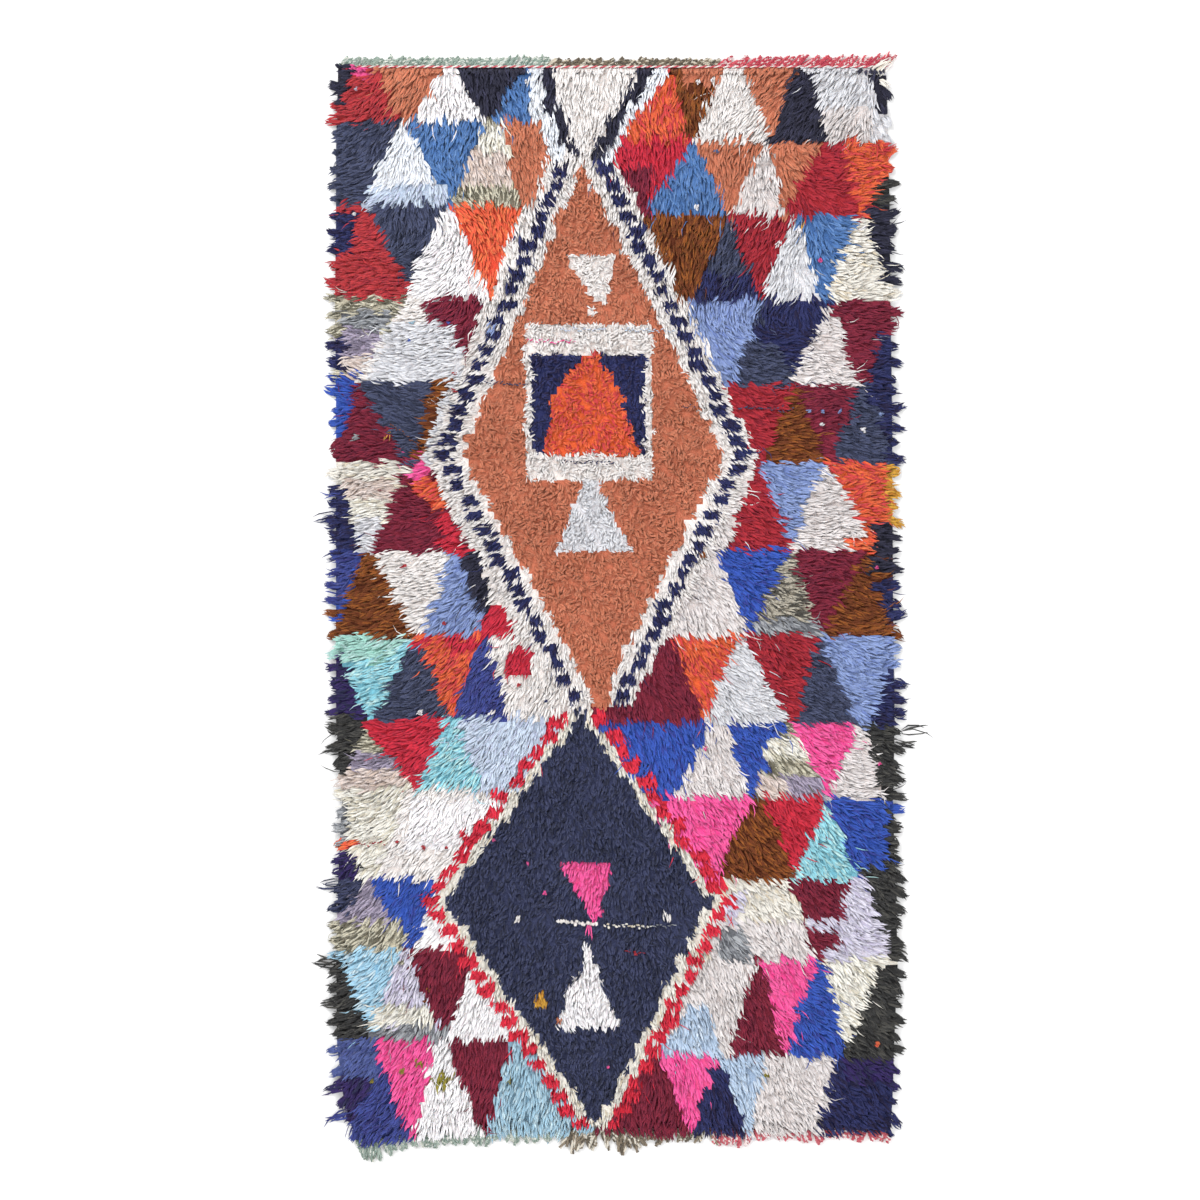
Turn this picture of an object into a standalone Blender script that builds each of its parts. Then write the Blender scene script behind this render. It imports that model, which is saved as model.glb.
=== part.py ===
"""Berber rug: a hand-knotted shag field with a short warp fringe at each end, lying flat.

Metres. +X is the rug's right side, +Y its head end and +Z up. The origin is in the middle of the
rug's box, on the underside, so the floor is z = 0. Widths and lengths below are of the real rug.
"""
import math
import random
from collections import namedtuple

import bmesh
import bpy
from mathutils import Vector

# Reach of the whole rug from the origin, out to the tips of its longest locks
HALF_WIDTH = 0.5644
HALF_LENGTH = 1.0390
# Every lock but the longest one of its edge ends at least this far inside that reach
TIP_MARGIN = 0.003

# Pile of the knotted field
FIELD_HEIGHT = 0.0210
LOZENGE_HEIGHT = 0.0175
RIM_HEIGHT = 0.0125
RIM_DEPTH = 0.055
LUMP = 0.0042
ROW_RISE = 0.0030
RIM_LUMP = 0.0015
GRID_SHIFT = 0.24

# The field is cut into cells, and each cell on a locked edge carries one lock
FIELD_COLUMNS = 24
FIELD_ROWS = 62
PILE_LOCK_WIDTH = 0.68
WARP_LOCK_WIDTH = 0.60
LOCK_WAIST = 0.62
WAIST_HEIGHT = 0.62
SIDE_LOCK_LENGTH = 0.025
SIDE_LOCK_SPREAD = 0.28
LEAN_SPREAD = 7.0

# At the foot end the last row of pile lies over the fringe, from this height up
SHELF_HEIGHT = 0.0055
FOOT_LOCK_LENGTH = 0.017

# Flat-woven heading strip and its cut warp ends
PIECE_GAP = 0.0003
HEADING_DEPTH = 0.0072
HEADING_HEIGHT = 0.0035
HEAD_LINE = 1.0070
WARP_LENGTH_SPREAD = 0.22

EdgeSection = namedtuple("EdgeSection", "along left right left_lean right_lean")
# Side edges of the field from head to foot. A lean is in degrees from straight out to the foot.
EDGE_SECTIONS = (
    EdgeSection(along=1.007, left=-0.532, right=0.495, left_lean=-18, right_lean=38),
    EdgeSection(along=0.853, left=-0.536, right=0.499, left_lean=20, right_lean=12),
    EdgeSection(along=0.731, left=-0.536, right=0.502, left_lean=28, right_lean=25),
    EdgeSection(along=0.572, left=-0.538, right=0.503, left_lean=24, right_lean=24),
    EdgeSection(along=0.384, left=-0.536, right=0.506, left_lean=6, right_lean=10),
    EdgeSection(along=0.197, left=-0.536, right=0.506, left_lean=0, right_lean=4),
    EdgeSection(along=0.009, left=-0.536, right=0.508, left_lean=5, right_lean=5),
    EdgeSection(along=-0.216, left=-0.536, right=0.511, left_lean=14, right_lean=6),
    EdgeSection(along=-0.366, left=-0.525, right=0.508, left_lean=24, right_lean=24),
    EdgeSection(along=-0.516, left=-0.532, right=0.512, left_lean=14, right_lean=20),
    EdgeSection(along=-0.666, left=-0.536, right=0.517, left_lean=10, right_lean=24),
    EdgeSection(along=-0.825, left=-0.534, right=0.510, left_lean=30, right_lean=30),
    EdgeSection(along=-0.925, left=-0.522, right=0.507, left_lean=44, right_lean=36),
    EdgeSection(along=-1.003, left=-0.499, right=0.502, left_lean=56, right_lean=44),
)

FootSection = namedtuple("FootSection", "across along")
# Foot edge of the field from left to right, pulled lower at its left corner
FOOT_SECTIONS = (
    FootSection(across=-0.499, along=-1.003),
    FootSection(across=-0.416, along=-0.992),
    FootSection(across=-0.285, along=-0.979),
    FootSection(across=-0.116, along=-0.977),
    FootSection(across=0.034, along=-0.981),
    FootSection(across=0.334, along=-0.979),
    FootSection(across=0.502, along=-0.981),
)

Lozenge = namedtuple("Lozenge", "middle head widest foot half_width")
# The two lozenges, where the pile is clipped lower than round them
LOZENGES = (
    Lozenge(middle=-0.055, head=0.825, widest=0.281, foot=-0.187, half_width=0.245),
    Lozenge(middle=-0.083, head=-0.206, widest=-0.553, foot=-0.969, half_width=0.248),
)

Fringe = namedtuple("Fringe", "name end left right locks length lean colour")
# Warps of three yarns lie side by side. A lean is sideways travel for each metre outwards.
FRINGES = (
    Fringe("top_fringe_sage", "head", -0.5320, -0.1446, 35, 0.0195, 0.70, (0.46, 0.53, 0.47)),
    Fringe("top_fringe_taupe", "head", -0.1443, 0.1737, 29, 0.0150, 0.85, (0.38, 0.33, 0.27)),
    Fringe("top_fringe_rose", "head", 0.1740, 0.4950, 30, 0.0205, 0.80, (0.62, 0.25, 0.30)),
    Fringe("bottom_fringe_sage", "foot", -0.4990, -0.1122, 22, 0.0235, 0.15, (0.46, 0.53, 0.47)),
    Fringe("bottom_fringe_taupe", "foot", -0.1119, 0.1620, 15, 0.0270, 0.10, (0.38, 0.33, 0.27)),
    Fringe("bottom_fringe_rose", "foot", 0.1623, 0.5020, 17, 0.0185, 0.20, (0.62, 0.25, 0.30)),
)
PILE_COLOUR = (0.58, 0.32, 0.22)

LongLock = namedtuple("LongLock", "node edge at")
# The lock nearest to this place on its edge reaches the side of the rug's box
LONG_LOCKS = (
    LongLock("pile_field", "left", 0.150),
    LongLock("pile_field", "right", -0.2475),
    LongLock("top_fringe_rose", "head", 0.470),
    LongLock("bottom_fringe_sage", "foot", -0.463),
)


def between(table, place, column):
    """Read a column of a table of sections, straight between its rows, at a place on the first."""
    rows = sorted(table)
    for low, high in zip(rows, rows[1:]):
        if place <= high[0]:
            part = max(0.0, (place - low[0]) / (high[0] - low[0]))
            return getattr(low, column) + part * (getattr(high, column) - getattr(low, column))
    return getattr(rows[-1], column)


def clear_scene():
    """Remove whatever the file already holds."""
    for thing in list(bpy.data.objects):
        bpy.data.objects.remove(thing, do_unlink=True)


def yarn_material(name, colour):
    """Matt wool or cotton of one colour."""
    material = bpy.data.materials.new(name)
    material.use_nodes = True
    shader = material.node_tree.nodes["Principled BSDF"]
    shader.inputs["Base Color"].default_value = (*colour, 1.0)
    shader.inputs["Roughness"].default_value = 0.92
    shader.inputs["Metallic"].default_value = 0.0
    return material


def field_place(u, v):
    """Point of the field's outline grid: u from left to right, v from foot to head."""
    along = HEAD_LINE * v + FOOT_SECTIONS[2].along * (1.0 - v)
    across = between(EDGE_SECTIONS, along, "left") * (1.0 - u)
    across += between(EDGE_SECTIONS, along, "right") * u
    along = HEAD_LINE * v + between(FOOT_SECTIONS, across, "along") * (1.0 - v)
    across = between(EDGE_SECTIONS, along, "left") * (1.0 - u)
    across += between(EDGE_SECTIONS, along, "right") * u
    return Vector((across, along))


def inside_lozenge(across, along, lozenge):
    """How far inside a lozenge a point lies, from 0 at its edge to 1 at its middle."""
    if not lozenge.foot < along < lozenge.head:
        return 0.0
    end = lozenge.head if along > lozenge.widest else lozenge.foot
    half = lozenge.half_width * (end - along) / (end - lozenge.widest)
    return max(0.0, 1.0 - abs(across - lozenge.middle) / half)


def pile_height(point, rim_distance, row_rise, chance):
    """Height of the lumpy pile, low and rounded at the rim and clipped lower in the lozenges."""
    if rim_distance <= 0.0:
        return RIM_HEIGHT + chance.uniform(-RIM_LUMP, RIM_LUMP)
    rise = min(1.0, rim_distance / RIM_DEPTH)
    rise = rise * rise * (3.0 - 2.0 * rise)
    height = RIM_HEIGHT + (FIELD_HEIGHT - RIM_HEIGHT) * rise
    deepest = max(inside_lozenge(point.x, point.y, lozenge) for lozenge in LOZENGES)
    height -= (FIELD_HEIGHT - LOZENGE_HEIGHT) * min(1.0, deepest * 5.0)
    return height + (row_rise + chance.uniform(-LUMP, LUMP)) * (0.4 + 0.6 * rise)


def grow_lock(mesh, root, tip):
    """Close a four-point opening in a wall with a lock that narrows to a tip on its own floor."""
    low_a, low_b, high_b, high_a = (vertex.co for vertex in root)
    floor = low_a.z
    middle = (low_a + low_b) / 2.0
    sideways = (low_b - low_a) / 2.0 * LOCK_WAIST
    waist = (middle + Vector((tip.x, tip.y, floor))) / 2.0
    lift = Vector((0.0, 0.0, (high_a.z + high_b.z - 2.0 * floor) / 2.0 * WAIST_HEIGHT))
    places = (waist - sideways, waist + sideways, waist + sideways + lift, waist - sideways + lift)
    ring = [mesh.verts.new(place) for place in places]
    point = mesh.verts.new((tip.x, tip.y, floor))
    for first in range(4):
        second = (first + 1) % 4
        mesh.faces.new((root[first], root[second], ring[second], ring[first]))
        mesh.faces.new((ring[first], ring[second], point))


class Slab:
    """A flat-bottomed slab of cells whose chosen edges carry a row of locks."""

    def __init__(self, place, height, columns, rows, locks, lock_width, shelves):
        """place gives a grid point, height its top, locks a tip for each edge that has locks."""
        self.mesh = bmesh.new()
        self.place = place
        self.height = height
        self.columns = columns
        self.rows = rows
        self.locks = locks
        self.root_span = ((1.0 - lock_width) / 2.0, (1.0 + lock_width) / 2.0)
        self.shelves = shelves

    def top_vertex(self, u, v):
        """Vertex of the upper face at a grid place."""
        point = self.place(u, v)
        return self.mesh.verts.new((point.x, point.y, self.height(point, u, v)))

    def build(self):
        """Make the upper face, the walls with their locks and the flat underside."""
        columns, rows = self.columns, self.rows
        grid = [[self.top_vertex(i / columns, j / rows) for i in range(columns + 1)]
                for j in range(rows + 1)]
        # Walk round the four edges, anticlockwise from above
        edges = {
            "foot": [grid[0][i] for i in range(columns + 1)],
            "right": [grid[j][columns] for j in range(rows + 1)],
            "head": [grid[rows][i] for i in range(columns, -1, -1)],
            "left": [grid[j][0] for j in range(rows, -1, -1)],
        }
        extras = {edge: self.split_edge(edge, corners) for edge, corners in edges.items()}
        for j in range(rows):
            for i in range(columns):
                loop = [grid[j][i]]
                if j == 0:
                    loop += extras["foot"][i]
                loop.append(grid[j][i + 1])
                if i == columns - 1:
                    loop += extras["right"][j]
                loop.append(grid[j + 1][i + 1])
                if j == rows - 1:
                    loop += extras["head"][columns - 1 - i]
                loop.append(grid[j + 1][i])
                if i == 0:
                    loop += extras["left"][rows - 1 - j]
                self.mesh.faces.new(loop)
        self.build_walls(edges, extras)
        return self.mesh

    def split_edge(self, edge, corners):
        """Two more rim vertices in each cell of an edge with locks, where the lock's root is."""
        if edge not in self.locks:
            return [[] for _ in corners[1:]]
        splits = []
        for start, end in zip(corners, corners[1:]):
            pair = []
            for part in self.root_span:
                pair.append(self.mesh.verts.new(start.co.lerp(end.co, part)))
            splits.append(pair)
        return splits

    def build_walls(self, edges, extras):
        """Drop a wall from the rim to z = 0, with a lock in place of the wall at each root."""
        rim = []
        for edge, corners in edges.items():
            for cell, start in enumerate(corners[:-1]):
                pair = extras[edge][cell]
                rim.append((edge, start, False))
                if pair:
                    rim.append((edge, pair[0], True))
                    rim.append((edge, pair[1], False))
        feet = [self.mesh.verts.new((top.co.x, top.co.y, 0.0)) for _, top, _ in rim]
        shelves = self.shelf_vertices(rim)
        for here, (edge, top, has_lock) in enumerate(rim):
            ahead = (here + 1) % len(rim)
            next_top = rim[ahead][1]
            low, next_low = feet[here], feet[ahead]
            if shelves[here] and shelves[ahead]:
                self.mesh.faces.new((low, next_low, shelves[ahead], shelves[here]))
                low, next_low = shelves[here], shelves[ahead]
            if has_lock:
                root = (low, next_low, next_top, top)
                grow_lock(self.mesh, root, self.locks[edge]((low.co + next_low.co) / 2.0, edge))
                continue
            loop = [low, next_low, next_top, top]
            if shelves[ahead] and shelves[ahead] is not next_low:
                loop.insert(2, shelves[ahead])
            if shelves[here] and shelves[here] is not low:
                loop.append(shelves[here])
            self.mesh.faces.new(loop)
        self.mesh.faces.new(list(reversed(feet)))

    def shelf_vertices(self, rim):
        """Vertices part of the way up the wall, for each rim vertex on an edge with a shelf."""
        shelves = []
        for here, (edge, top, _) in enumerate(rim):
            height = self.shelves.get(edge, self.shelves.get(rim[here - 1][0]))
            if height is None:
                shelves.append(None)
            else:
                shelves.append(self.mesh.verts.new((top.co.x, top.co.y, height)))
        return shelves


def finish_object(name, mesh, colour):
    """Turn a closed mesh into a named object with its own yarn material."""
    bmesh.ops.recalc_face_normals(mesh, faces=mesh.faces)
    data = bpy.data.meshes.new(name)
    mesh.to_mesh(data)
    mesh.free()
    data.materials.append(yarn_material(name + "_yarn", colour))
    thing = bpy.data.objects.new(name, data)
    bpy.context.scene.collection.objects.link(thing)
    return thing


def is_longest(node, edge, coordinate, pitch):
    """True for the one lock of a node that reaches the side of the rug's box."""
    return any(lock.node == node and lock.edge == edge and abs(coordinate - lock.at) <= pitch / 2.0
               for lock in LONG_LOCKS)


def build_field():
    """The knotted field: lumpy pile, locks along both sides and over the foot fringe."""
    chance = random.Random(11)
    row_pitch = 2.0 * HEAD_LINE / FIELD_ROWS

    def place(u, v):
        point = field_place(u, v)
        if 0.0 < u < 1.0 and 0.0 < v < 1.0:
            point.x += chance.uniform(-GRID_SHIFT, GRID_SHIFT) * 2.0 * HALF_WIDTH / FIELD_COLUMNS
            point.y += chance.uniform(-GRID_SHIFT, GRID_SHIFT) * row_pitch
        return point

    def height(point, u, v):
        across = min(u, 1.0 - u) * 2.0 * HALF_WIDTH
        along = min(v, 1.0 - v) * 2.0 * HEAD_LINE
        row_rise = ROW_RISE if round(v * FIELD_ROWS) % 2 else -ROW_RISE
        return pile_height(point, min(across, along), row_rise, chance)

    def side_tip(root, edge):
        sign = -1.0 if edge == "left" else 1.0
        if is_longest("pile_field", edge, root.y, row_pitch):
            return Vector((sign * HALF_WIDTH, root.y - 0.004))
        lean = between(EDGE_SECTIONS, root.y, edge + "_lean")
        lean = math.radians(lean + chance.uniform(-LEAN_SPREAD, LEAN_SPREAD))
        out = Vector((sign * math.cos(lean), -math.sin(lean)))
        length = SIDE_LOCK_LENGTH * chance.uniform(1.0 - SIDE_LOCK_SPREAD, 1.0 + SIDE_LOCK_SPREAD)
        tip = Vector((root.x, root.y)) + out * length
        tip.x = max(TIP_MARGIN - HALF_WIDTH, min(HALF_WIDTH - TIP_MARGIN, tip.x))
        return tip

    def foot_tip(root, edge):
        length = FOOT_LOCK_LENGTH * chance.uniform(0.8, 1.2)
        return Vector((root.x + chance.uniform(-0.004, 0.006), root.y - length))

    locks = {"left": side_tip, "right": side_tip, "foot": foot_tip}
    shelves = {"foot": SHELF_HEIGHT}
    slab = Slab(place, height, FIELD_COLUMNS, FIELD_ROWS, locks, PILE_LOCK_WIDTH, shelves)
    return finish_object("pile_field", slab.build(), PILE_COLOUR)


def build_fringe(fringe, seed):
    """A narrow heading strip parted from the field, with one lock for each bunch of warp ends."""
    chance = random.Random(seed)
    sign = 1.0 if fringe.end == "head" else -1.0
    pitch = (fringe.right - fringe.left) / fringe.locks
    corners = [FootSection(*field_place(i / FIELD_COLUMNS, 0.0)) for i in range(FIELD_COLUMNS + 1)]

    def place(u, v):
        across = fringe.left * (1.0 - u) + fringe.right * u
        field_end = HEAD_LINE if sign > 0.0 else between(corners, across, "along")
        outward = v if sign > 0.0 else 1.0 - v
        return Vector((across, field_end + sign * (PIECE_GAP + HEADING_DEPTH * outward)))

    def height(point, u, v):
        return HEADING_HEIGHT

    def tip(root, edge):
        if is_longest(fringe.name, edge, root.x, pitch):
            return Vector((root.x + 0.004, sign * HALF_LENGTH))
        low, high = 1.0 - WARP_LENGTH_SPREAD, 1.0 + WARP_LENGTH_SPREAD
        length = fringe.length * chance.uniform(low, high)
        reach = root.y + sign * length
        reach = max(TIP_MARGIN - HALF_LENGTH, min(HALF_LENGTH - TIP_MARGIN, reach))
        side = fringe.lean * length * chance.uniform(0.85, 1.15)
        side = min(side, fringe.right - root.x + pitch * 0.3)
        return Vector((root.x + side, reach))

    slab = Slab(place, height, fringe.locks, 1, {fringe.end: tip}, WARP_LOCK_WIDTH, {})
    return finish_object(fringe.name, slab.build(), fringe.colour)


def main():
    """Build the rug."""
    clear_scene()
    build_field()
    for seed, fringe in enumerate(FRINGES, start=21):
        build_fringe(fringe, seed)


main()
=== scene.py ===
"""Looks of the berber rug: wool pile in a patchwork of triangles round two stacked lozenges.

Metres, in the part's frame: +X is the rug's right side, +Y its head end, +Z up, floor at z = 0.
The pattern is a traditional one, redrawn as a weaver's chart in whole and tenth
centimetres: "across" runs from the left selvedge, "down" from the head line.
"""

import math
from collections import namedtuple

import bpy
import numpy as np
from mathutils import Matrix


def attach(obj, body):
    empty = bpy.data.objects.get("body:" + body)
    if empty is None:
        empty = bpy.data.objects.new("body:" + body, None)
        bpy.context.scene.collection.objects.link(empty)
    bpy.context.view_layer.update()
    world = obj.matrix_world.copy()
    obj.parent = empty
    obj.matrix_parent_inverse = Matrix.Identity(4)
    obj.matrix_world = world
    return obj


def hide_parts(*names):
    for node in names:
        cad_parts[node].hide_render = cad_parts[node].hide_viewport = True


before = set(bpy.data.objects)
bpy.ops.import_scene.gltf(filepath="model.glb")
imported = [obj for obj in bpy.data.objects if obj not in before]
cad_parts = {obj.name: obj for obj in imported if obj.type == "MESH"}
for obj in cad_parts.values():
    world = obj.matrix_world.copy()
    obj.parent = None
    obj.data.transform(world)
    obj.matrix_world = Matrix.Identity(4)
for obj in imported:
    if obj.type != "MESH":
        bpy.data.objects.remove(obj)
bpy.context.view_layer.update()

SEED = 5516
CM = 0.01

# Chart's own corner, in metres
CHART_LEFT = -0.536
HEAD_LINE = 1.0070
CHART_MIDDLE = 48.0
CHART_LENGTH = 201.0
CHART_EDGE = 0.1

Edge = namedtuple("Edge", "along left right")
# Selvedges of the knotted field from head to foot
EDGES = (
    Edge(1.007, -0.532, 0.495), Edge(0.853, -0.536, 0.499), Edge(0.731, -0.536, 0.502),
    Edge(0.572, -0.538, 0.503), Edge(0.384, -0.536, 0.506), Edge(0.009, -0.536, 0.508),
    Edge(-0.216, -0.536, 0.511), Edge(-0.366, -0.525, 0.508), Edge(-0.516, -0.532, 0.512),
    Edge(-0.666, -0.536, 0.517), Edge(-0.825, -0.534, 0.510), Edge(-0.925, -0.522, 0.507),
    Edge(-1.003, -0.499, 0.502),
)

Foot = namedtuple("Foot", "across along")
# Foot edge of the knotted field, pulled lower at its left corner
FOOT_EDGE = (
    Foot(-0.499, -1.003), Foot(-0.416, -0.992), Foot(-0.285, -0.979), Foot(-0.116, -0.977),
    Foot(0.034, -0.981), Foot(0.334, -0.979), Foot(0.502, -0.981),
)

Yarn = namedtuple("Yarn", "name colour fleck share")
# Dyed yarns: main colour, the colour of its odd strands and how many of them there are
YARNS = (
    Yarn("ecru", (241, 232, 228), (219, 208, 202), 0.14),
    Yarn("white", (254, 249, 250), (242, 230, 233), 0.12),
    Yarn("cool_white", (241, 243, 250), (220, 224, 235), 0.16),
    Yarn("oat", (226, 216, 214), (206, 194, 191), 0.20),
    Yarn("cream", (236, 229, 218), (212, 197, 174), 0.16),
    Yarn("grey_white", (225, 223, 227), (195, 194, 200), 0.22),
    Yarn("lavender", (214, 208, 224), (184, 176, 200), 0.30),
    Yarn("ice_blue", (196, 210, 230), (176, 184, 208), 0.26),
    Yarn("sky", (148, 196, 224), (190, 214, 226), 0.20),
    Yarn("mist", (166, 187, 214), (190, 204, 222), 0.20),
    Yarn("dull_sky", (142, 178, 200), (172, 198, 210), 0.24),
    Yarn("turquoise", (128, 196, 214), (172, 214, 214), 0.26),
    Yarn("sea_green", (146, 198, 184), (176, 214, 208), 0.30),
    Yarn("periwinkle", (134, 152, 200), (108, 126, 180), 0.22),
    Yarn("cobalt", (70, 107, 162), (94, 128, 180), 0.20),
    Yarn("royal", (52, 84, 174), (50, 62, 138), 0.20),
    Yarn("dusk_blue", (82, 95, 150), (66, 76, 130), 0.28),
    Yarn("blue", (62, 73, 140), (50, 52, 110), 0.30),
    Yarn("navy", (44, 49, 94), (33, 30, 58), 0.35),
    Yarn("purple_navy", (52, 38, 92), (40, 40, 70), 0.30),
    Yarn("denim", (70, 76, 103), (46, 50, 70), 0.32),
    Yarn("slate", (60, 65, 95), (40, 43, 62), 0.35),
    Yarn("black_navy", (38, 38, 52), (50, 50, 70), 0.20),
    Yarn("charcoal", (44, 44, 45), (70, 69, 66), 0.25),
    Yarn("dark_grey", (110, 112, 118), (160, 162, 166), 0.40),
    Yarn("copper", (196, 116, 89), (180, 102, 75), 0.28),
    Yarn("brown", (94, 46, 27), (136, 76, 34), 0.30),
    Yarn("orange", (228, 100, 56), (198, 64, 64), 0.42),
    Yarn("orange_red", (226, 80, 58), (232, 108, 68), 0.35),
    Yarn("ochre", (214, 158, 62), (184, 120, 44), 0.30),
    Yarn("red", (178, 54, 58), (150, 42, 52), 0.25),
    Yarn("scarlet", (222, 46, 66), (196, 38, 56), 0.20),
    Yarn("crimson", (196, 42, 60), (170, 36, 54), 0.20),
    Yarn("dark_red", (166, 42, 52), (134, 32, 46), 0.25),
    Yarn("wine", (122, 36, 54), (96, 28, 46), 0.25),
    Yarn("hot_pink", (248, 92, 154), (234, 66, 134), 0.25),
    Yarn("khaki", (208, 200, 178), (98, 94, 80), 0.40),
    Yarn("marl", (190, 181, 164), (76, 73, 68), 0.50),
    Yarn("cream_khaki", (244, 238, 226), (204, 195, 176), 0.24),
    Yarn("purple_grey", (170, 158, 180), (118, 110, 128), 0.35),
    Yarn("peach", (222, 204, 197), (198, 176, 164), 0.40),
    Yarn("olive", (142, 132, 52), (110, 100, 40), 0.30),
)
CODE = {yarn.name: number for number, yarn in enumerate(YARNS)}

Cell = namedtuple("Cell", "yarn head foot")
Band = namedtuple("Band", "head foot first cells")
# Bands of triangles left and right of the middle: the yarn at a band's left end, and where each
# next triangle starts at the band's head and foot
LEFT_BANDS = (
    Band(0.0, 10.5, "black_navy", (
        Cell("red", 2.8, -2.0), Cell("copper", 6.8, 11.8), Cell("white", 20.8, 14.0),
        Cell("black_navy", 22.0, 28.0), Cell("cobalt", 36.0, 28.8), Cell("grey_white", 37.0, 39.2),
    )),
    Band(10.5, 26.0, "denim", (
        Cell("cool_white", 12.0, 4.5), Cell("cobalt", 13.0, 20.8), Cell("khaki", 28.5, 21.5),
        Cell("copper", 30.0, 34.5),
    )),
    Band(26.0, 43.3, "red", (
        Cell("denim", 5.5, 14.5), Cell("white", 21.0, 12.2), Cell("orange_red", 21.8, 28.5),
        Cell("ecru", 35.0, 29.0),
    )),
    Band(43.3, 59.0, "khaki", (
        Cell("ecru", 13.0, 3.0), Cell("wine", 14.5, 22.5), Cell("ecru", 27.5, 23.5),
    )),
    Band(59.0, 74.3, "wine", (
        Cell("denim", 4.0, 13.0), Cell("brown", 18.0, 13.8), Cell("grey_white", 21.0, 16.0),
    )),
    Band(74.3, 90.8, "cream", (
        Cell("wine", 13.0, 6.5), Cell("ecru", 17.5, 24.8),
    )),
    Band(90.8, 106.7, "royal", (
        Cell("brown", 5.5, -1.0), Cell("ecru", 6.5, 14.0), Cell("periwinkle", 21.5, 15.5),
        Cell("black_navy", 22.0, 28.5), Cell("ecru", 27.0, 29.5),
    )),
    Band(106.7, 121.9, "turquoise", (
        Cell("denim", 14.0, 7.0), Cell("orange", 14.5, 21.2), Cell("blue", 27.4, 21.6),
        Cell("ecru", 28.0, 32.0),
    )),
    Band(121.9, 135.4, "khaki", (
        Cell("crimson", 4.0, 15.0), Cell("turquoise", 20.5, 15.0), Cell("ice_blue", 22.0, 27.0),
    )),
    Band(135.4, 152.0, "cream_khaki", (
        Cell("ecru", 13.0, 7.0),
    )),
    Band(152.0, 165.4, "purple_grey", (
        Cell("royal", 6.0, 13.0), Cell("white", 19.5, 14.0),
    )),
    Band(165.4, 182.4, "sky", (
        Cell("lavender", 12.5, 6.0), Cell("wine", 13.0, 20.0), Cell("white", 26.0, 21.0),
    )),
    Band(182.4, 201.0, "blue", (
        Cell("hot_pink", 7.0, 13.5), Cell("white", 18.5, 14.5), Cell("wine", 21.0, 27.5),
        Cell("dull_sky", 33.0, 28.0),
    )),
)
RIGHT_BANDS = (
    Band(0.0, 14.0, "grey_white", (
        Cell("orange", 59.6, 53.5), Cell("brown", 62.5, 65.6), Cell("ecru", 72.5, 67.0),
        Cell("copper", 76.5, 81.0), Cell("black_navy", 86.5, 81.0), Cell("grey_white", 88.0, 92.0),
    )),
    Band(14.0, 28.3, "crimson", (
        Cell("cobalt", 66.5, 57.5), Cell("copper", 67.5, 73.5), Cell("oat", 80.0, 74.0),
        Cell("copper", 81.5, 83.5), Cell("dark_red", 91.0, 84.0), Cell("orange", 95.0, 98.5),
    )),
    Band(28.3, 43.9, "brown", (
        Cell("denim", 73.0, 67.5), Cell("dark_red", 73.5, 79.0), Cell("grey_white", 85.5, 79.5),
        Cell("cobalt", 86.0, 91.0), Cell("cream", 98.0, 91.5),
    )),
    Band(43.9, 59.6, "periwinkle", (
        Cell("denim", 80.0, 75.0), Cell("navy", 80.5, 85.5), Cell("oat", 93.0, 85.5),
        Cell("wine", 93.0, 98.0),
    )),
    Band(59.6, 73.9, "dark_red", (
        Cell("brown", 86.0, 80.5), Cell("wine", 86.5, 92.0), Cell("denim", 98.0, 93.0),
    )),
    Band(73.9, 90.4, "oat", (
        Cell("dark_red", 78.4, 74.2), Cell("periwinkle", 79.0, 86.0), Cell("oat", 91.5, 85.5),
        Cell("orange", 92.5, 101.0),
    )),
    Band(90.4, 106.7, "oat", (
        Cell("royal", 71.5, 77.5), Cell("marl", 85.0, 78.0), Cell("wine", 85.5, 90.5),
        Cell("brown", 99.5, 91.5),
    )),
    Band(106.7, 123.2, "wine", (
        Cell("orange", 63.0, 68.5), Cell("grey_white", 75.5, 69.0), Cell("dark_red", 76.5, 85.5),
        Cell("denim", 90.5, 86.5), Cell("periwinkle", 91.0, 98.0),
    )),
    Band(123.2, 136.7, "royal", (
        Cell("oat", 70.5, 63.5), Cell("royal", 73.0, 77.5), Cell("khaki", 85.0, 78.5),
        Cell("hot_pink", 85.5, 92.0), Cell("oat", 98.0, 92.0),
    )),
    Band(136.7, 152.4, "hot_pink", (
        Cell("brown", 78.0, 71.5), Cell("crimson", 80.0, 87.0), Cell("turquoise", 92.0, 86.0),
        Cell("royal", 92.0, 98.0),
    )),
    Band(152.4, 167.3, "cream", (
        Cell("wine", 85.0, 90.5), Cell("lavender", 97.0, 91.5),
    )),
    Band(167.3, 185.3, "oat", (
        Cell("wine", 79.0, 73.5), Cell("hot_pink", 79.5, 84.5), Cell("royal", 90.0, 84.5),
        Cell("cream_khaki", 91.5, 96.0),
    )),
    Band(185.3, 201.0, "wine", (
        Cell("hot_pink", 61.0, 66.5), Cell("navy", 71.5, 66.5), Cell("mist", 72.0, 77.5),
        Cell("oat", 80.5, 77.5), Cell("navy", 94.0, 90.5),
    )),
)

Rim = namedtuple("Rim", "side yarn head foot head_width foot_width")
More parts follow.
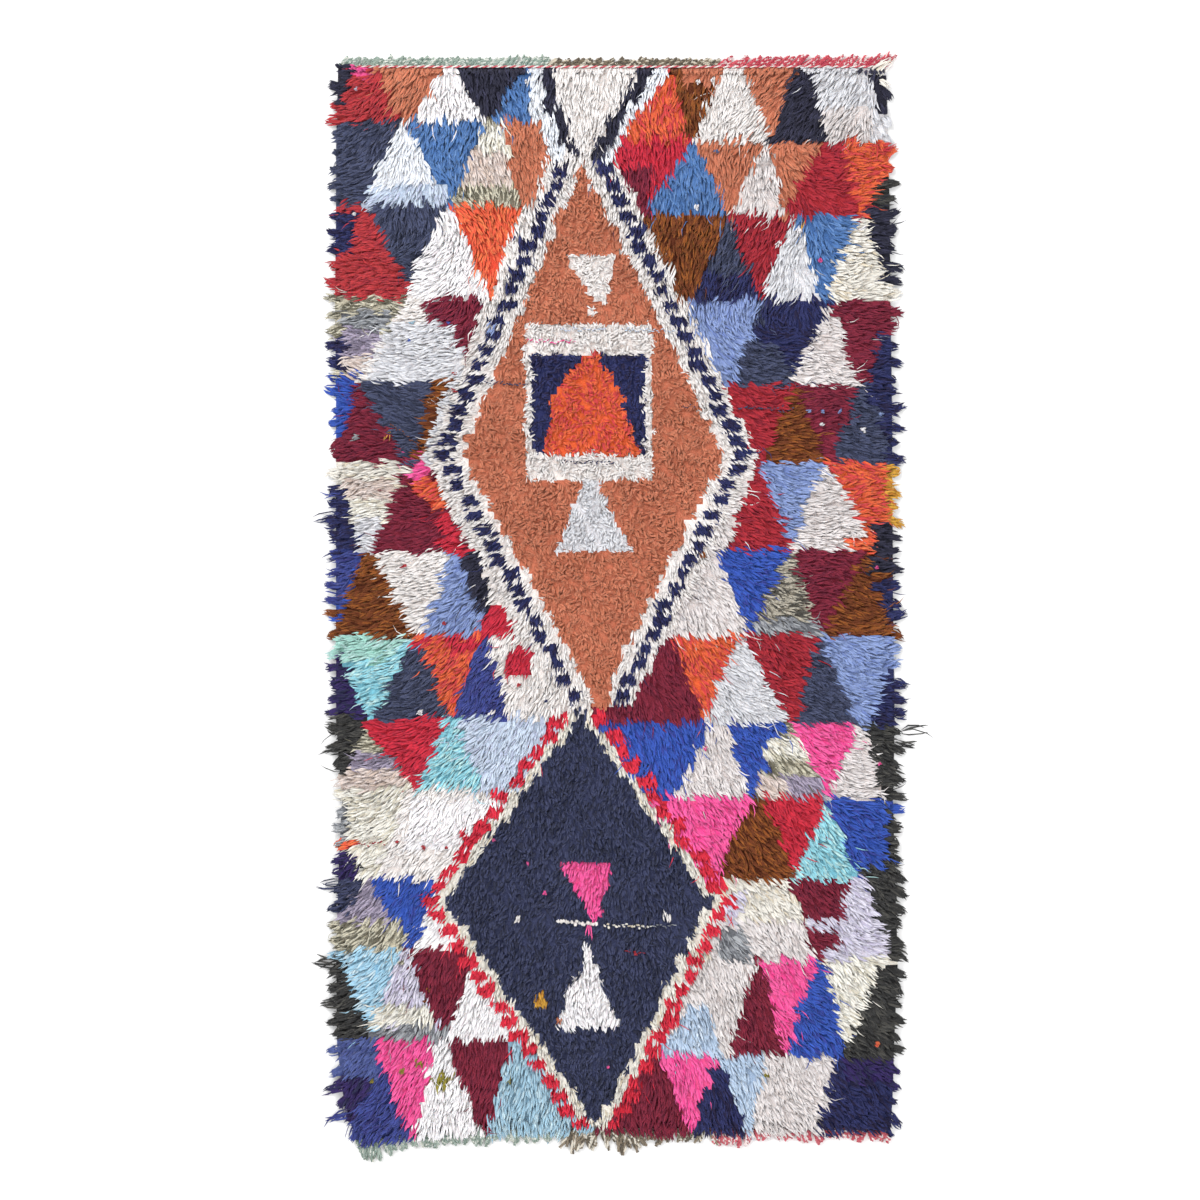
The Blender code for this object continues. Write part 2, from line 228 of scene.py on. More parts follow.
# Locks of another colour knotted in along the selvedges
RIMS = (
    Rim("left", "black_navy", 0.0, 9.0, 2.4, 0.3),
    Rim("left", "navy", 27.5, 35.0, 3.6, 3.0),
    Rim("left", "navy", 50.0, 57.0, 1.7, 1.7),
    Rim("left", "royal", 57.5, 70.0, 3.6, 1.4),
    Rim("left", "navy", 78.0, 90.8, 1.0, 4.6),
    Rim("left", "blue", 90.8, 100.7, 5.0, 1.0),
    Rim("left", "purple_navy", 110.0, 121.5, 0.8, 5.0),
    Rim("left", "charcoal", 121.5, 132.5, 6.0, 1.0),
    Rim("left", "dark_grey", 137.0, 145.0, 1.2, 1.2),
    Rim("left", "purple_navy", 147.0, 152.0, 2.2, 3.6),
    Rim("left", "slate", 152.0, 158.0, 5.5, 1.6),
    Rim("left", "charcoal", 166.5, 182.4, 0.8, 6.0),
    Rim("right", "black_navy", 0.8, 9.0, 4.6, 1.4),
    Rim("right", "charcoal", 20.0, 26.0, 0.6, 4.0),
    Rim("right", "black_navy", 26.0, 41.0, 5.0, 0.8),
    Rim("right", "navy", 50.0, 63.0, 2.0, 5.0),
    Rim("right", "navy", 63.0, 74.0, 2.0, 0.8),
    Rim("right", "ochre", 74.0, 85.0, 1.4, 1.0),
    Rim("right", "black_navy", 85.0, 94.5, 3.0, 4.4),
    Rim("right", "navy", 96.0, 104.0, 3.6, 1.0),
    Rim("right", "navy", 112.0, 123.2, 0.8, 4.5),
    Rim("right", "charcoal", 123.2, 137.0, 5.5, 2.0),
    Rim("right", "charcoal", 139.0, 150.0, 1.2, 2.0),
    Rim("right", "charcoal", 150.0, 163.0, 6.4, 1.6),
    Rim("right", "charcoal", 163.0, 167.0, 1.6, 1.6),
    Rim("right", "charcoal", 168.0, 186.0, 2.6, 9.8),
    Rim("right", "purple_navy", 186.0, 190.0, 9.0, 9.0),
)

Shape = namedtuple("Shape", "yarn head foot head_left head_right foot_left foot_right")
# Odd patches inside the triangles, where the weaver changed yarn
PATCHES = (
    Shape("hot_pink", 0.0, 2.4, 2.8, 7.0, 4.4, 6.6),
    Shape("ice_blue", 22.6, 26.0, 6.0, 20.8, 4.6, 21.4),
    Shape("cream_khaki", 11.0, 16.5, 28.2, 31.0, 25.8, 33.0),
    Shape("peach", 16.5, 22.6, 25.8, 31.5, 23.0, 33.4),
    Shape("dark_grey", 45.8, 48.8, 0.8, 10.5, 0.8, 9.0),
    Shape("purple_grey", 48.8, 54.0, 0.8, 8.5, 0.8, 7.0),
    Shape("peach", 54.0, 58.0, 0.8, 6.5, 0.8, 4.5),
    Shape("grey_white", 48.0, 59.0, 10.0, 22.0, 5.0, 24.0),
    Shape("peach", 77.2, 80.6, 1.0, 11.4, 1.4, 9.8),
    Shape("cream_khaki", 80.6, 84.0, 1.4, 9.8, 1.8, 8.6),
    Shape("grey_white", 84.0, 90.8, 3.0, 8.8, 4.4, 6.8),
    Shape("hot_pink", 72.6, 77.2, 13.3, 16.0, 14.0, 18.0),
    Shape("orange", 77.0, 80.6, 13.0, 19.4, 15.0, 19.7),
    Shape("orange_red", 80.6, 83.0, 16.6, 20.0, 18.0, 20.3),
    Shape("crimson", 82.8, 91.4, 18.0, 20.3, 20.3, 25.0),
    Shape("sea_green", 106.7, 111.5, -1.0, 12.0, 1.0, 9.0),
    Shape("crimson", 101.0, 106.9, 29.0, 32.0, 27.0, 32.8),
    Shape("crimson", 107.2, 109.8, 14.0, 27.2, 16.0, 27.2),
    Shape("orange", 108.2, 109.8, 17.0, 21.4, 17.0, 22.0),
    Shape("crimson", 109.2, 113.9, 31.7, 37.1, 31.7, 37.1),
    Shape("purple_grey", 128.0, 131.4, 1.8, 9.4, 1.8, 11.0),
    Shape("peach", 131.4, 135.4, 0.0, 12.0, 0.0, 14.0),
    Shape("white", 137.0, 147.0, 14.0, 34.0, 12.0, 28.0),
    Shape("orange_red", 145.0, 146.8, 0.6, 3.0, 0.6, 3.0),
    Shape("khaki", 159.8, 162.8, -1.0, 12.2, -1.0, 12.6),
    Shape("khaki", 162.8, 165.4, -1.0, 12.6, -1.0, 13.0),
    Shape("cream_khaki", 175.7, 179.6, 7.3, 18.0, 6.6, 18.6),
    Shape("dusk_blue", 182.4, 189.6, -3.0, 7.0, -3.0, 8.5),
    Shape("purple_navy", 189.6, 197.5, -3.0, 7.0, -3.0, 2.8),
    Shape("dark_grey", 179.8, 182.6, 6.4, 20.8, 6.4, 21.0),
    Shape("ecru", 12.4, 18.6, 40.2, 51.6, 39.9, 52.4),
    Shape("copper", -1.0, 3.6, 64.0, 73.0, 65.5, 71.5),
    Shape("oat", 8.0, 14.0, 90.5, 100.0, 92.0, 100.5),
    Shape("wine", 19.0, 28.3, 40.0, 59.5, 40.0, 58.0),
    Shape("navy", 38.8, 43.9, 68.5, 78.0, 67.5, 79.0),
    Shape("navy", 43.9, 52.0, 80.0, 93.0, 79.0, 89.0),
    Shape("orange_red", 88.0, 90.4, 96.4, 101.2, 96.4, 101.2),
    Shape("dark_grey", 103.6, 106.7, 79.0, 90.0, 78.0, 91.5),
    Shape("wine", 117.5, 123.2, 52.0, 67.5, 51.0, 68.5),
    Shape("cream_khaki", 125.8, 129.5, 81.0, 87.0, 80.0, 89.0),
    Shape("peach", 133.0, 136.7, 79.5, 84.0, 79.0, 84.0),
    Shape("purple_grey", 133.0, 136.7, 84.0, 91.0, 84.0, 92.0),
    Shape("lavender", 155.0, 160.0, 72.0, 77.0, 73.0, 76.0),
    Shape("oat", 160.0, 167.3, 70.0, 88.5, 70.0, 90.5),
    Shape("dark_grey", 161.4, 167.3, 71.0, 76.0, 72.0, 79.0),
    Shape("lavender", 160.0, 161.6, 88.0, 97.0, 88.0, 97.0),
    Shape("wine", 161.6, 165.0, 87.6, 93.9, 88.6, 94.0),
    Shape("mist", 175.5, 185.3, 66.5, 69.5, 60.0, 72.5),
)

Ring = namedtuple("Ring", "yarn near far start end")
Lozenge = namedtuple("Lozenge", "yarn tip head left right widest end foot rings")
# Lozenges with their stepped rings; a ring's start and end are shares of each step's height
LOZENGES = (
    Lozenge("copper", 46.3, 18.2, 23.6, 72.6, 72.6, 49.1, 119.4, (
        Ring("ecru", 0.0, 6.4, 0.0, 1.0), Ring("navy", 2.2, 4.9, 0.06, 0.84),
    )),
    Lozenge("slate", 45.8, 121.3, 20.4, 70.1, 156.0, 48.9, 198.5, (
        Ring("cream", 0.0, 2.0, 0.0, 1.0), Ring("scarlet", 1.7, 4.6, 0.0, 0.82),
    )),
)

# Steps of the lozenges' edges: height, how steep the edge is within one, and how far each slips
STEP = 2.8
STEP_SHARE = 0.55
STEP_SLIP = 0.35
STEP_SLIP_TURN = 2.4
FAR_OFF = 99.0

Stripe = namedtuple("Stripe", "yarn half_width downs acrosses")
# Half lozenge at the head line, between two black stripes
FUNNEL = Shape("ecru", 0.0, 17.8, 39.9, 58.5, 45.4, 47.6)
STRIPES = (
    Stripe("cool_white", 1.5, (0.0, 8.6, 11.4, 15.2, 18.0), (37.6, 37.8, 39.9, 40.9, 41.6)),
    Stripe("cool_white", 1.3, (0.0, 5.0, 9.8, 13.6, 18.0), (61.0, 58.2, 54.8, 52.2, 50.6)),
    Stripe("black_navy", 1.15, (0.0, 8.7, 9.1, 12.4, 13.6, 17.8), (40.1, 40.3, 41.6, 42.9, 42.9, 44.9)),
    Stripe("black_navy", 1.25, (0.0, 3.0, 6.8, 8.8, 10.4, 14.8, 17.2),
           (58.7, 56.8, 55.0, 52.9, 52.0, 50.4, 48.2)),
)

# Figures inside the lozenges, later ones over earlier ones
FIGURES = (
    Shape("ecru", 35.2, 44.2, 43.4, 52.2, 48.0, 50.6),
    Shape("ecru", 45.0, 46.6, 47.2, 48.8, 47.2, 48.8),
    Shape("ecru", 48.2, 77.4, 35.4, 59.3, 35.4, 59.3),
    Shape("navy", 53.8, 72.4, 36.9, 57.8, 36.9, 57.8),
    Shape("orange", 53.3, 56.2, 46.4, 49.6, 45.6, 50.0),
    Shape("orange", 56.2, 63.0, 44.2, 50.6, 39.8, 54.6),
    Shape("orange", 63.0, 72.4, 41.2, 53.4, 38.4, 57.2),
    Shape("grey_white", 76.9, 90.8, 46.6, 48.0, 41.4, 56.0),
    Shape("olive", 189.0, 191.4, 17.4, 19.7, 18.3, 19.9),
    Shape("olive", 188.5, 190.6, 20.1, 21.9, 19.4, 21.2),
    Shape("ochre", 173.2, 175.9, 38.2, 39.0, 37.4, 40.0),
    Shape("hot_pink", 149.0, 160.0, 42.0, 51.9, 48.0, 49.0),
    Shape("copper", 114.0, 120.2, 47.6, 51.8, 48.2, 51.2),
    Shape("copper", 26.8, 30.5, 40.9, 43.0, 40.6, 42.0),
    Shape("white", 164.2, 170.6, 46.5, 47.7, 45.9, 49.2),
    Shape("white", 170.6, 173.0, 45.2, 49.5, 43.5, 50.6),
    Shape("white", 173.0, 176.6, 43.3, 50.7, 43.0, 51.1),
    Shape("white", 176.6, 180.0, 42.4, 51.4, 41.2, 53.8),
)

Speck = namedtuple("Speck", "yarn across down radius")
# Single knots of another colour
SPECKS = (
    Speck("white", 67.9, 2.8, 0.5), Speck("white", 70.5, 2.4, 0.4), Speck("cobalt", 71.4, 15.7, 0.4),
    Speck("white", 67.5, 26.2, 0.6), Speck("hot_pink", 90.6, 36.1, 0.5), Speck("white", 86.6, 30.6, 0.8),
    Speck("white", 83.0, 33.0, 0.8), Speck("periwinkle", 91.0, 64.6, 0.4),
    Speck("periwinkle", 88.4, 64.4, 0.4), Speck("periwinkle", 94.2, 64.5, 0.4),
    Speck("white", 90.9, 67.0, 0.4), Speck("white", 98.6, 68.1, 0.6), Speck("periwinkle", 101.8, 65.0, 0.5),
    Speck("hot_pink", 101.0, 93.6, 0.4), Speck("periwinkle", 99.0, 123.4, 0.9),
    Speck("hot_pink", 69.1, 127.5, 0.4), Speck("hot_pink", 101.5, 130.3, 0.4),
    Speck("orange_red", 101.2, 182.7, 0.5), Speck("olive", 80.7, 188.6, 0.5),
    Speck("lavender", 4.0, 4.2, 0.4), Speck("white", 35.6, 2.8, 0.4), Speck("white", 3.6, 27.6, 0.4),
    Speck("sky", 14.3, 48.0, 0.6), Speck("royal", 13.9, 51.2, 0.4), Speck("royal", 21.4, 48.0, 0.5),
    Speck("dark_grey", 3.6, 69.4, 0.9), Speck("red", 13.0, 93.2, 0.6), Speck("red", 20.4, 104.0, 0.4),
    Speck("red", 34.3, 115.6, 0.4), Speck("navy", 39.4, 118.6, 0.3), Speck("white", 15.9, 120.7, 0.5),
    Speck("ecru", 29.2, 120.6, 0.7), Speck("red", 11.6, 145.0, 0.3), Speck("red", 16.5, 146.0, 0.4),
    Speck("red", 20.8, 146.0, 0.3), Speck("charcoal", 4.6, 149.5, 0.9), Speck("khaki", 12.6, 167.4, 0.9),
    Speck("brown", 17.4, 172.5, 0.5), Speck("brown", 16.9, 174.6, 0.4), Speck("olive", 15.7, 186.2, 0.8),
    Speck("olive", 12.5, 187.8, 0.6), Speck("olive", 6.9, 189.6, 0.4), Speck("olive", 32.3, 189.4, 0.8),
    Speck("periwinkle", 29.2, 48.8, 1.3), Speck("red", 22.4, 57.4, 0.5), Speck("red", 22.4, 60.6, 0.5),
    Speck("hot_pink", 39.2, 154.5, 0.4), Speck("ecru", 34.1, 159.4, 0.6), Speck("ecru", 62.1, 158.6, 1.2),
    Speck("ochre", 38.6, 174.6, 0.8), Speck("dark_red", 56.2, 165.7, 0.4),
    Speck("copper", 41.8, 178.4, 0.6), Speck("hot_pink", 29.6, 144.6, 0.3),
    Speck("hot_pink", 36.0, 149.0, 0.3), Speck("hot_pink", 51.0, 187.0, 0.3),
    Speck("brown", 68.6, 91.3, 0.8),
)

Lock = namedtuple("Lock", "yarn across down angle reach count spread width")
# Locks that have pulled out of line: the head's right corner and the longest ones down the sides
ODD_LOCKS = (
    Lock("cream", 100.2, 1.7, 38, 0.052, 9, 0.016, 0.0040),
    Lock("cream", 101.6, 2.6, 320, 0.024, 6, 0.012, 0.0040),
    Lock("charcoal", 105.5, 124.6, 2, 0.056, 4, 0.008, 0.0030),
    Lock("charcoal", 104.8, 126.2, 350, 0.040, 6, 0.012, 0.0036),
    Lock("charcoal", 102.0, 149.8, 352, 0.044, 5, 0.010, 0.0030),
    Lock("dark_grey", 99.0, 51.4, 5, 0.046, 2, 0.004, 0.0022),
    Lock("crimson", 100.5, 15.6, 6, 0.042, 3, 0.006, 0.0026),
    Lock("white", 96.0, 31.5, 20, 0.036, 3, 0.006, 0.0026),
    Lock("blue", 3.0, 80.0, 176, 0.052, 6, 0.012, 0.0034),
    Lock("navy", 1.2, 84.0, 184, 0.050, 6, 0.012, 0.0034),
    Lock("navy", 2.0, 91.0, 190, 0.044, 5, 0.010, 0.0034),
    Lock("charcoal", 2.6, 123.6, 180, 0.048, 7, 0.012, 0.0036),
    Lock("charcoal", 2.0, 128.0, 186, 0.042, 6, 0.012, 0.0036),
    Lock("slate", 1.6, 152.6, 186, 0.046, 6, 0.012, 0.0034),
    Lock("charcoal", 0.8, 167.6, 182, 0.044, 10, 0.018, 0.0040),
    Lock("charcoal", 1.0, 175.0, 187, 0.038, 10, 0.018, 0.0040),
    Lock("purple_navy", 1.8, 190.6, 202, 0.042, 10, 0.018, 0.0040),
    Lock("blue", 2.4, 195.4, 208, 0.048, 10, 0.018, 0.0040),
    Lock("ecru", 45.4, 170.8, 150, 0.016, 3, 0.006, 0.0022),
    Lock("hot_pink", 47.6, 159.6, 268, 0.034, 6, 0.004, 0.0028),
    Lock("red", 4.4, 145.9, 181, 0.030, 2, 0.003, 0.0022),
    Lock("peach", 4.0, 41.8, 172, 0.040, 2, 0.004, 0.0020),
    Lock("ochre", 10.0, 67.0, 250, 0.030, 3, 0.006, 0.0022),
    Lock("ochre", 88.0, 27.0, 262, 0.036, 2, 0.004, 0.0022),
)

Thread = namedtuple("Thread", "yarn across down to_across to_down width")
# Loose weft ends that lie on top of the pile
THREADS = (
    Thread("red", 3.0, 145.5, 8.6, 145.3, 0.0030),
    Thread("slate", 75.0, 63.9, 85.0, 64.1, 0.0036),
    Thread("slate", 64.5, 63.8, 71.0, 63.8, 0.0036),
    Thread("brown", 10.0, 66.6, 16.0, 71.3, 0.0030),
    Thread("ecru", 41.2, 159.9, 48.2, 160.3, 0.0088),
    Thread("cream", 50.0, 160.5, 58.4, 160.9, 0.0050),
    Thread("dark_grey", 58.8, 160.6, 63.0, 160.6, 0.0022),
    Thread("dark_red", 53.8, 165.6, 57.2, 165.8, 0.0026),
    Thread("ice_blue", 41.6, 49.2, 49.5, 49.2, 0.0030),
    Thread("ice_blue", 53.2, 49.2, 62.6, 49.4, 0.0030),
    Thread("hot_pink", 35.8, 51.4, 44.2, 51.5, 0.0030),
    Thread("navy", 42.0, 74.0, 52.0, 74.2, 0.0030),
    Thread("slate", 26.0, 59.0, 35.5, 59.4, 0.0030),
)

Lie = namedtuple("Lie", "down angles")
LIE_ACROSS = (0.0, 6.0, 13.0, 22.0, 32.0, 48.0, 64.0, 76.0, 86.0, 93.0, 98.0, 104.0)
# Which way the pile lies, in degrees anticlockwise from straight right, at those places across
LIES = (
    Lie(1.0, (140, 200, 255, 268, 270, 272, 268, 245, 228, 222, 235, 320)),
    Lie(8.0, (165, 215, 258, 268, 272, 272, 266, 243, 228, 222, 235, 330)),
    Lie(13.6, (178, 215, 262, 268, 274, 272, 266, 243, 230, 225, 240, 335)),
    Lie(14.6, (180, 205, 262, 272, 275, 272, 268, 250, 320, 372, 370, 365)),
    Lie(21.0, (180, 190, 245, 280, 275, 272, 268, 250, 330, 372, 372, 365)),
    Lie(27.0, (180, 190, 290, 318, 278, 270, 268, 250, 245, 340, 372, 365)),
    Lie(34.0, (185, 185, 190, 240, 275, 270, 268, 245, 240, 340, 372, 362)),
    Lie(43.0, (185, 185, 195, 225, 265, 270, 275, 250, 250, 350, 370, 360)),
    Lie(50.0, (182, 180, 180, 185, 250, 270, 290, 330, 350, 358, 360, 358)),
    Lie(60.0, (182, 182, 180, 185, 230, 270, 300, 340, 355, 358, 360, 357)),
    Lie(72.0, (184, 184, 182, 190, 225, 270, 305, 332, 342, 350, 355, 357)),
    Lie(85.0, (182, 184, 184, 200, 235, 270, 300, 332, 350, 355, 357, 355)),
    Lie(107.0, (182, 190, 200, 215, 240, 270, 295, 320, 335, 342, 348, 352)),
    Lie(122.0, (185, 186, 190, 215, 240, 270, 292, 315, 330, 338, 345, 350)),
    Lie(137.0, (190, 195, 215, 235, 250, 270, 288, 308, 322, 330, 335, 345)),
    Lie(150.0, (190, 200, 230, 245, 255, 270, 285, 302, 315, 325, 332, 342)),
    Lie(165.0, (188, 205, 235, 250, 258, 270, 282, 300, 312, 320, 328, 338)),
    Lie(182.0, (190, 205, 240, 255, 262, 270, 282, 298, 308, 315, 322, 332)),
    Lie(193.0, (205, 225, 250, 262, 266, 270, 280, 295, 302, 308, 316, 326)),
    Lie(200.0, (235, 245, 262, 266, 268, 270, 278, 290, 300, 306, 314, 325)),
)

STRAND_WIDTH = 0.0046
Tuft = namedtuple("Tuft", "count width spread gather")
# Strands of one knot or lock: how many, how wide, how far apart their roots are, in metres,
# and the share of that by which their tips draw together
BAND_TUFT = Tuft(5, STRAND_WIDTH, 0.0130, 0.44)
LOZENGE_TUFT = Tuft(4, 0.0039, 0.0098, 0.30)
RIM_TUFT = Tuft(18, 0.9 * STRAND_WIDTH, 0.0190, 0.88)
HEAD_TUFT = Tuft(4, STRAND_WIDTH, 0.0050, 0.0)
SPECK_TUFT = Tuft(9, 0.0034, 0.0120, 0.20)
STRAY_TUFT = Tuft(1, 0.0022, 0.0040, 0.0)

Noise = namedtuple("Noise", "strength cell seed")
# Smooth noises of the place: how strong, how far apart their hills are in metres, and a seed;
# those of the rings and figures move the chart's borders by so many centimetres
LIE_NOISES = (Noise(0.30, 0.070, 1), Noise(0.30, 0.028, 2))
REACH_NOISES = (Noise(0.12, 0.050, 3),)
RISE_NOISES = (Noise(0.20, 0.045, 4), Noise(0.09, 0.020, 5))
SHADE_NOISES = (Noise(0.10, 0.016, 6), Noise(0.05, 0.090, 7))
FEET_NOISES = (Noise(0.22, 0.022, 8),)
LOBE_NOISES = (Noise(0.50, 0.090, 9),)
RING_NOISES = (Noise(0.50, 0.012, 10),)
ACROSS_NOISES = (Noise(0.60, 0.012, 11),)
DOWN_NOISES = (Noise(0.36, 0.012, 12),)
LATTICE = 256

# Size and height of the pile in the bands, at the lozenges' rings and inside the lozenges
PILE_REACH = 0.031
BORDER_REACH = 0.021
LOZENGE_PILE_REACH = 0.016
PILE_RISE = 0.0185
LOZENGE_RISE = 0.0150
BASE_HEIGHT = 0.0022
FLOOR_GAP = 0.0006
RIM_FALL = 0.030
ON_TOP = 1.20

# How far the pile's lie scatters from knot to knot, in radians
BAND_SCATTER = 0.12
COPPER_SCATTER = 1.0
SLATE_SCATTER = 0.42
FIGURE_SCATTER = 0.22

# How much single strands differ from their knot
REACH_SPREAD = 0.13
TURN_SPREAD = 0.13
BEND_SPREAD = 0.16
RISE_SPREAD = 0.065
WIDTH_SPREAD = 0.15
SHADE_SPREAD = 0.05
SHADE_LIMITS = (0.7, 1.3)

# Grid of the knots and how much of a strand's reach shows its place in the chart
GRID_LEFT = -0.545
GRID_FOOT = -1.010
GRID_WIDTH = 1.10
GRID_LENGTH = 2.04
GRID_SHIFT = 0.28
SIDE_CLEAR = 0.020
END_CLEAR = 0.002
SHOWN_SHARE = 0.75
FINE_SHOWN_SHARE = 0.62

# Shape of one strand: rings along it, corners of a ring, and how far its normals lean outward
RING_PLACES = (0.36, 0.76)
RING_WIDTHS = (1.00, 0.80)
SIDES = 3
CORNER_TURNS = (90, 212, 328)
FLATNESS = 0.62
NORMAL_SPREAD = 0.38
STRAND_CORNERS = 2 + SIDES * len(RING_PLACES)
BEND_PLACE = 0.45
RISE_CURVE = 2.2
BAKE_MARGIN = 0.08
DULL_FLECK = 0.25

# Lobes and locks along the rim
LOBE_PITCH = 0.0300
LOBE_DEPTH = 0.40
LOBE_REACH = 0.050
LOBE_LEVEL = 0.25
LOBE_CREST = 0.25
RIM_LOCKS = 33
RIM_SHIFT = 0.15
RIM_INSET = 0.009
RIM_SCATTER = 0.20
LEFT_LOCK_REACH = 0.0225
RIGHT_LOCK_REACH = 0.0255
RIM_REACHES = (0.6, 1.3)
RIM_RISES = (0.011, 0.017)
ODD_GATHER = 0.9
ODD_RISE = 0.019

# First row of knots at the head
HEAD_ROW = (-0.528, 0.492)
HEAD_PITCH = 0.0070
HEAD_INSET = 0.0025
HEAD_SCATTER = 0.25
HEAD_REACHES = (0.010, 0.017)
HEAD_RISE = 0.85 * PILE_RISE
HEAD_COLOUR_DOWN = 0.8

# Specks, loose weft ends and stray wisps
SPECK_REACH = 1.6
SPECK_SPREAD = 0.6
THREAD_STEP = 0.45
THREAD_SPREAD = 0.0012
THREAD_REACH = 0.008
THREAD_SCATTER = 0.35
STRAYS = 1500
STRAYS_ACROSS = (-0.52, 0.49)
STRAYS_ALONG = (-0.97, 0.99)
STRAY_REACHES = (0.034, 0.052)
STRAY_SCATTER = 0.40
STRAY_RISE = 1.10 * PILE_RISE
STRAY_BEND = 2.0
STRAY_MARGIN = 0.4

STRAND = np.dtype([
    ("root", "f8", 2), ("reach", "f8", 2), ("bend", "f8"), ("rise", "f8"), ("width", "f8"),
    ("code", "i4"), ("shade", "f8"), ("fleck", "f8"),
])


def linear(colour):
    """Linear colour of one given in 8-bit steps as a screen shows it."""
    share = np.array(colour) / 255.0
    return tuple(np.where(share <= 0.04045, share / 12.92, ((share + 0.055) / 1.055) ** 2.4))


def edge_left(y):
    rows = EDGES[::-1]
    return np.interp(y, [row.along for row in rows], [row.left for row in rows])


def edge_right(y):
    rows = EDGES[::-1]
    return np.interp(y, [row.along for row in rows], [row.right for row in rows])


def edge_foot(x):
    return np.interp(x, [row.across for row in FOOT_EDGE], [row.along for row in FOOT_EDGE])


def outside(x, y):
    """How far a place is past the edge of the knotted field, in metres, negative inside it."""
    sides = np.maximum(edge_left(y) - x, x - edge_right(y))
    ends = np.maximum(edge_foot(x) - y, y - HEAD_LINE)
    return np.maximum(sides, ends)


def ripple(x, y, cell, seed):
    """Smooth noise from -1 to 1 with its hills about one cell apart."""
    lattice = np.random.default_rng(SEED + seed).uniform(-1, 1, (LATTICE, LATTICE))
    u = x / cell + LATTICE / 2
    v = y / cell + LATTICE / 2
    column = np.floor(u).astype(int)
    row = np.floor(v).astype(int)
    u = u - column
    v = v - row
    u = u * u * (3 - 2 * u)
    v = v * v * (3 - 2 * v)
    c0, c1 = column % LATTICE, (column + 1) % LATTICE
    r0, r1 = row % LATTICE, (row + 1) % LATTICE
    low = lattice[r0, c0] * (1 - u) + lattice[r0, c1] * u
    high = lattice[r1, c0] * (1 - u) + lattice[r1, c1] * u
    return low * (1 - v) + high * v


def swayed(value, x, y, noises):
    """A value with smooth noises of the place added to it."""
    for noise in noises:
        value = value + noise.strength * ripple(x, y, noise.cell, noise.seed)
    return value


def to_chart(x, y):
    """Centimetres across and down the chart of a place in metres."""
    return (x - CHART_LEFT) / CM, (HEAD_LINE - y) / CM


def from_chart(across, down):
    return CHART_LEFT + across * CM, HEAD_LINE - down * CM


def lie_angle(across, down):
    """Which way the pile lies there, in radians."""
    rows = np.array([np.interp(across, LIE_ACROSS, lie.angles) for lie in LIES])
    downs = np.array([lie.down for lie in LIES])
    place = np.interp(down, downs, np.arange(len(LIES)))
    low = np.minimum(place.astype(int), len(LIES) - 2)
    part = place - low
    column = np.arange(len(across))
    return np.radians(rows[low, column] * (1 - part) + rows[low + 1, column] * part)


def in_shape(shape, across, down):
    part = (down - shape.head) / (shape.foot - shape.head)
    left = shape.head_left + part * (shape.foot_left - shape.head_left)
    right = shape.head_right + part * (shape.foot_right - shape.head_right)
    return (part >= 0) & (part <= 1) & (across >= left) & (across <= right)


def lozenge_offset(lozenge, across, down):
    """Distance outside a lozenge's stepped edge, and the share of the step's height there."""
    steps = (down - lozenge.head) / STEP
    step = np.floor(steps)
    level = lozenge.head + (step + 0.5) * STEP
    level = down + (level - down) * STEP_SHARE
    knees = (lozenge.head, lozenge.widest, lozenge.foot)
    left = np.interp(level, knees, (lozenge.tip, lozenge.left, lozenge.end))
    right = np.interp(level, knees, (lozenge.tip, lozenge.right, lozenge.end))
    offset = np.maximum(left - across, across - right)
    offset = offset + STEP_SLIP * np.sin(step * STEP_SLIP_TURN + np.sign(across - CHART_MIDDLE))
    offset = swayed(offset, *from_chart(across, down), RING_NOISES)
    within = (down >= lozenge.head) & (down <= lozenge.foot)
    return np.where(within, offset, FAR_OFF), steps - step


def paint_bands(codes, across, down):
    left = across < CHART_MIDDLE
    for bands, side in ((LEFT_BANDS, left), (RIGHT_BANDS, ~left)):
        for band in bands:
            inside = side & (down >= band.head) & (down < band.foot)
            part = (down - band.head) / (band.foot - band.head)
            codes[inside] = CODE[band.first]
            for cell in band.cells:
                border = cell.head + part * (cell.foot - cell.head)
                codes[inside & (across >= border)] = CODE[cell.yarn]


def paint_rims(codes, across, down):
    x, y = from_chart(across, down)
    insets = {"left": (x - edge_left(y)) / CM, "right": (edge_right(y) - x) / CM}
    for rim in RIMS:
        part = (down - rim.head) / (rim.foot - rim.head)
        width = rim.head_width + part * (rim.foot_width - rim.head_width)
        codes[(part >= 0) & (part < 1) & (insets[rim.side] < width)] = CODE[rim.yarn]


def chart(across, down):
    """Yarn number at each place of the chart."""
    codes = np.zeros(len(across), int)
    down = np.clip(down, CHART_EDGE, CHART_LENGTH - CHART_EDGE)
    paint_bands(codes, across, down)
    for patch in PATCHES:
        codes[in_shape(patch, across, down)] = CODE[patch.yarn]
    paint_rims(codes, across, down)
    codes[in_shape(FUNNEL, across, down)] = CODE[FUNNEL.yarn]
    for stripe in STRIPES:
        middle = np.interp(down, stripe.downs, stripe.acrosses)
        beside = np.abs(across - middle) < stripe.half_width
        codes[beside & (down < stripe.downs[-1])] = CODE[stripe.yarn]
    for lozenge in LOZENGES:
        offset, share = lozenge_offset(lozenge, across, down)
        for ring in lozenge.rings:
            level = (share >= ring.start) & (share <= ring.end)
            codes[level & (offset > ring.near) & (offset <= ring.far)] = CODE[ring.yarn]
        codes[offset <= 0] = CODE[lozenge.yarn]
    across = swayed(across, *from_chart(across, down), ACROSS_NOISES)
    down = swayed(down, *from_chart(across, down), DOWN_NOISES)
    for figure in FIGURES:
        codes[in_shape(figure, across, down)] = CODE[figure.yarn]
    return codes


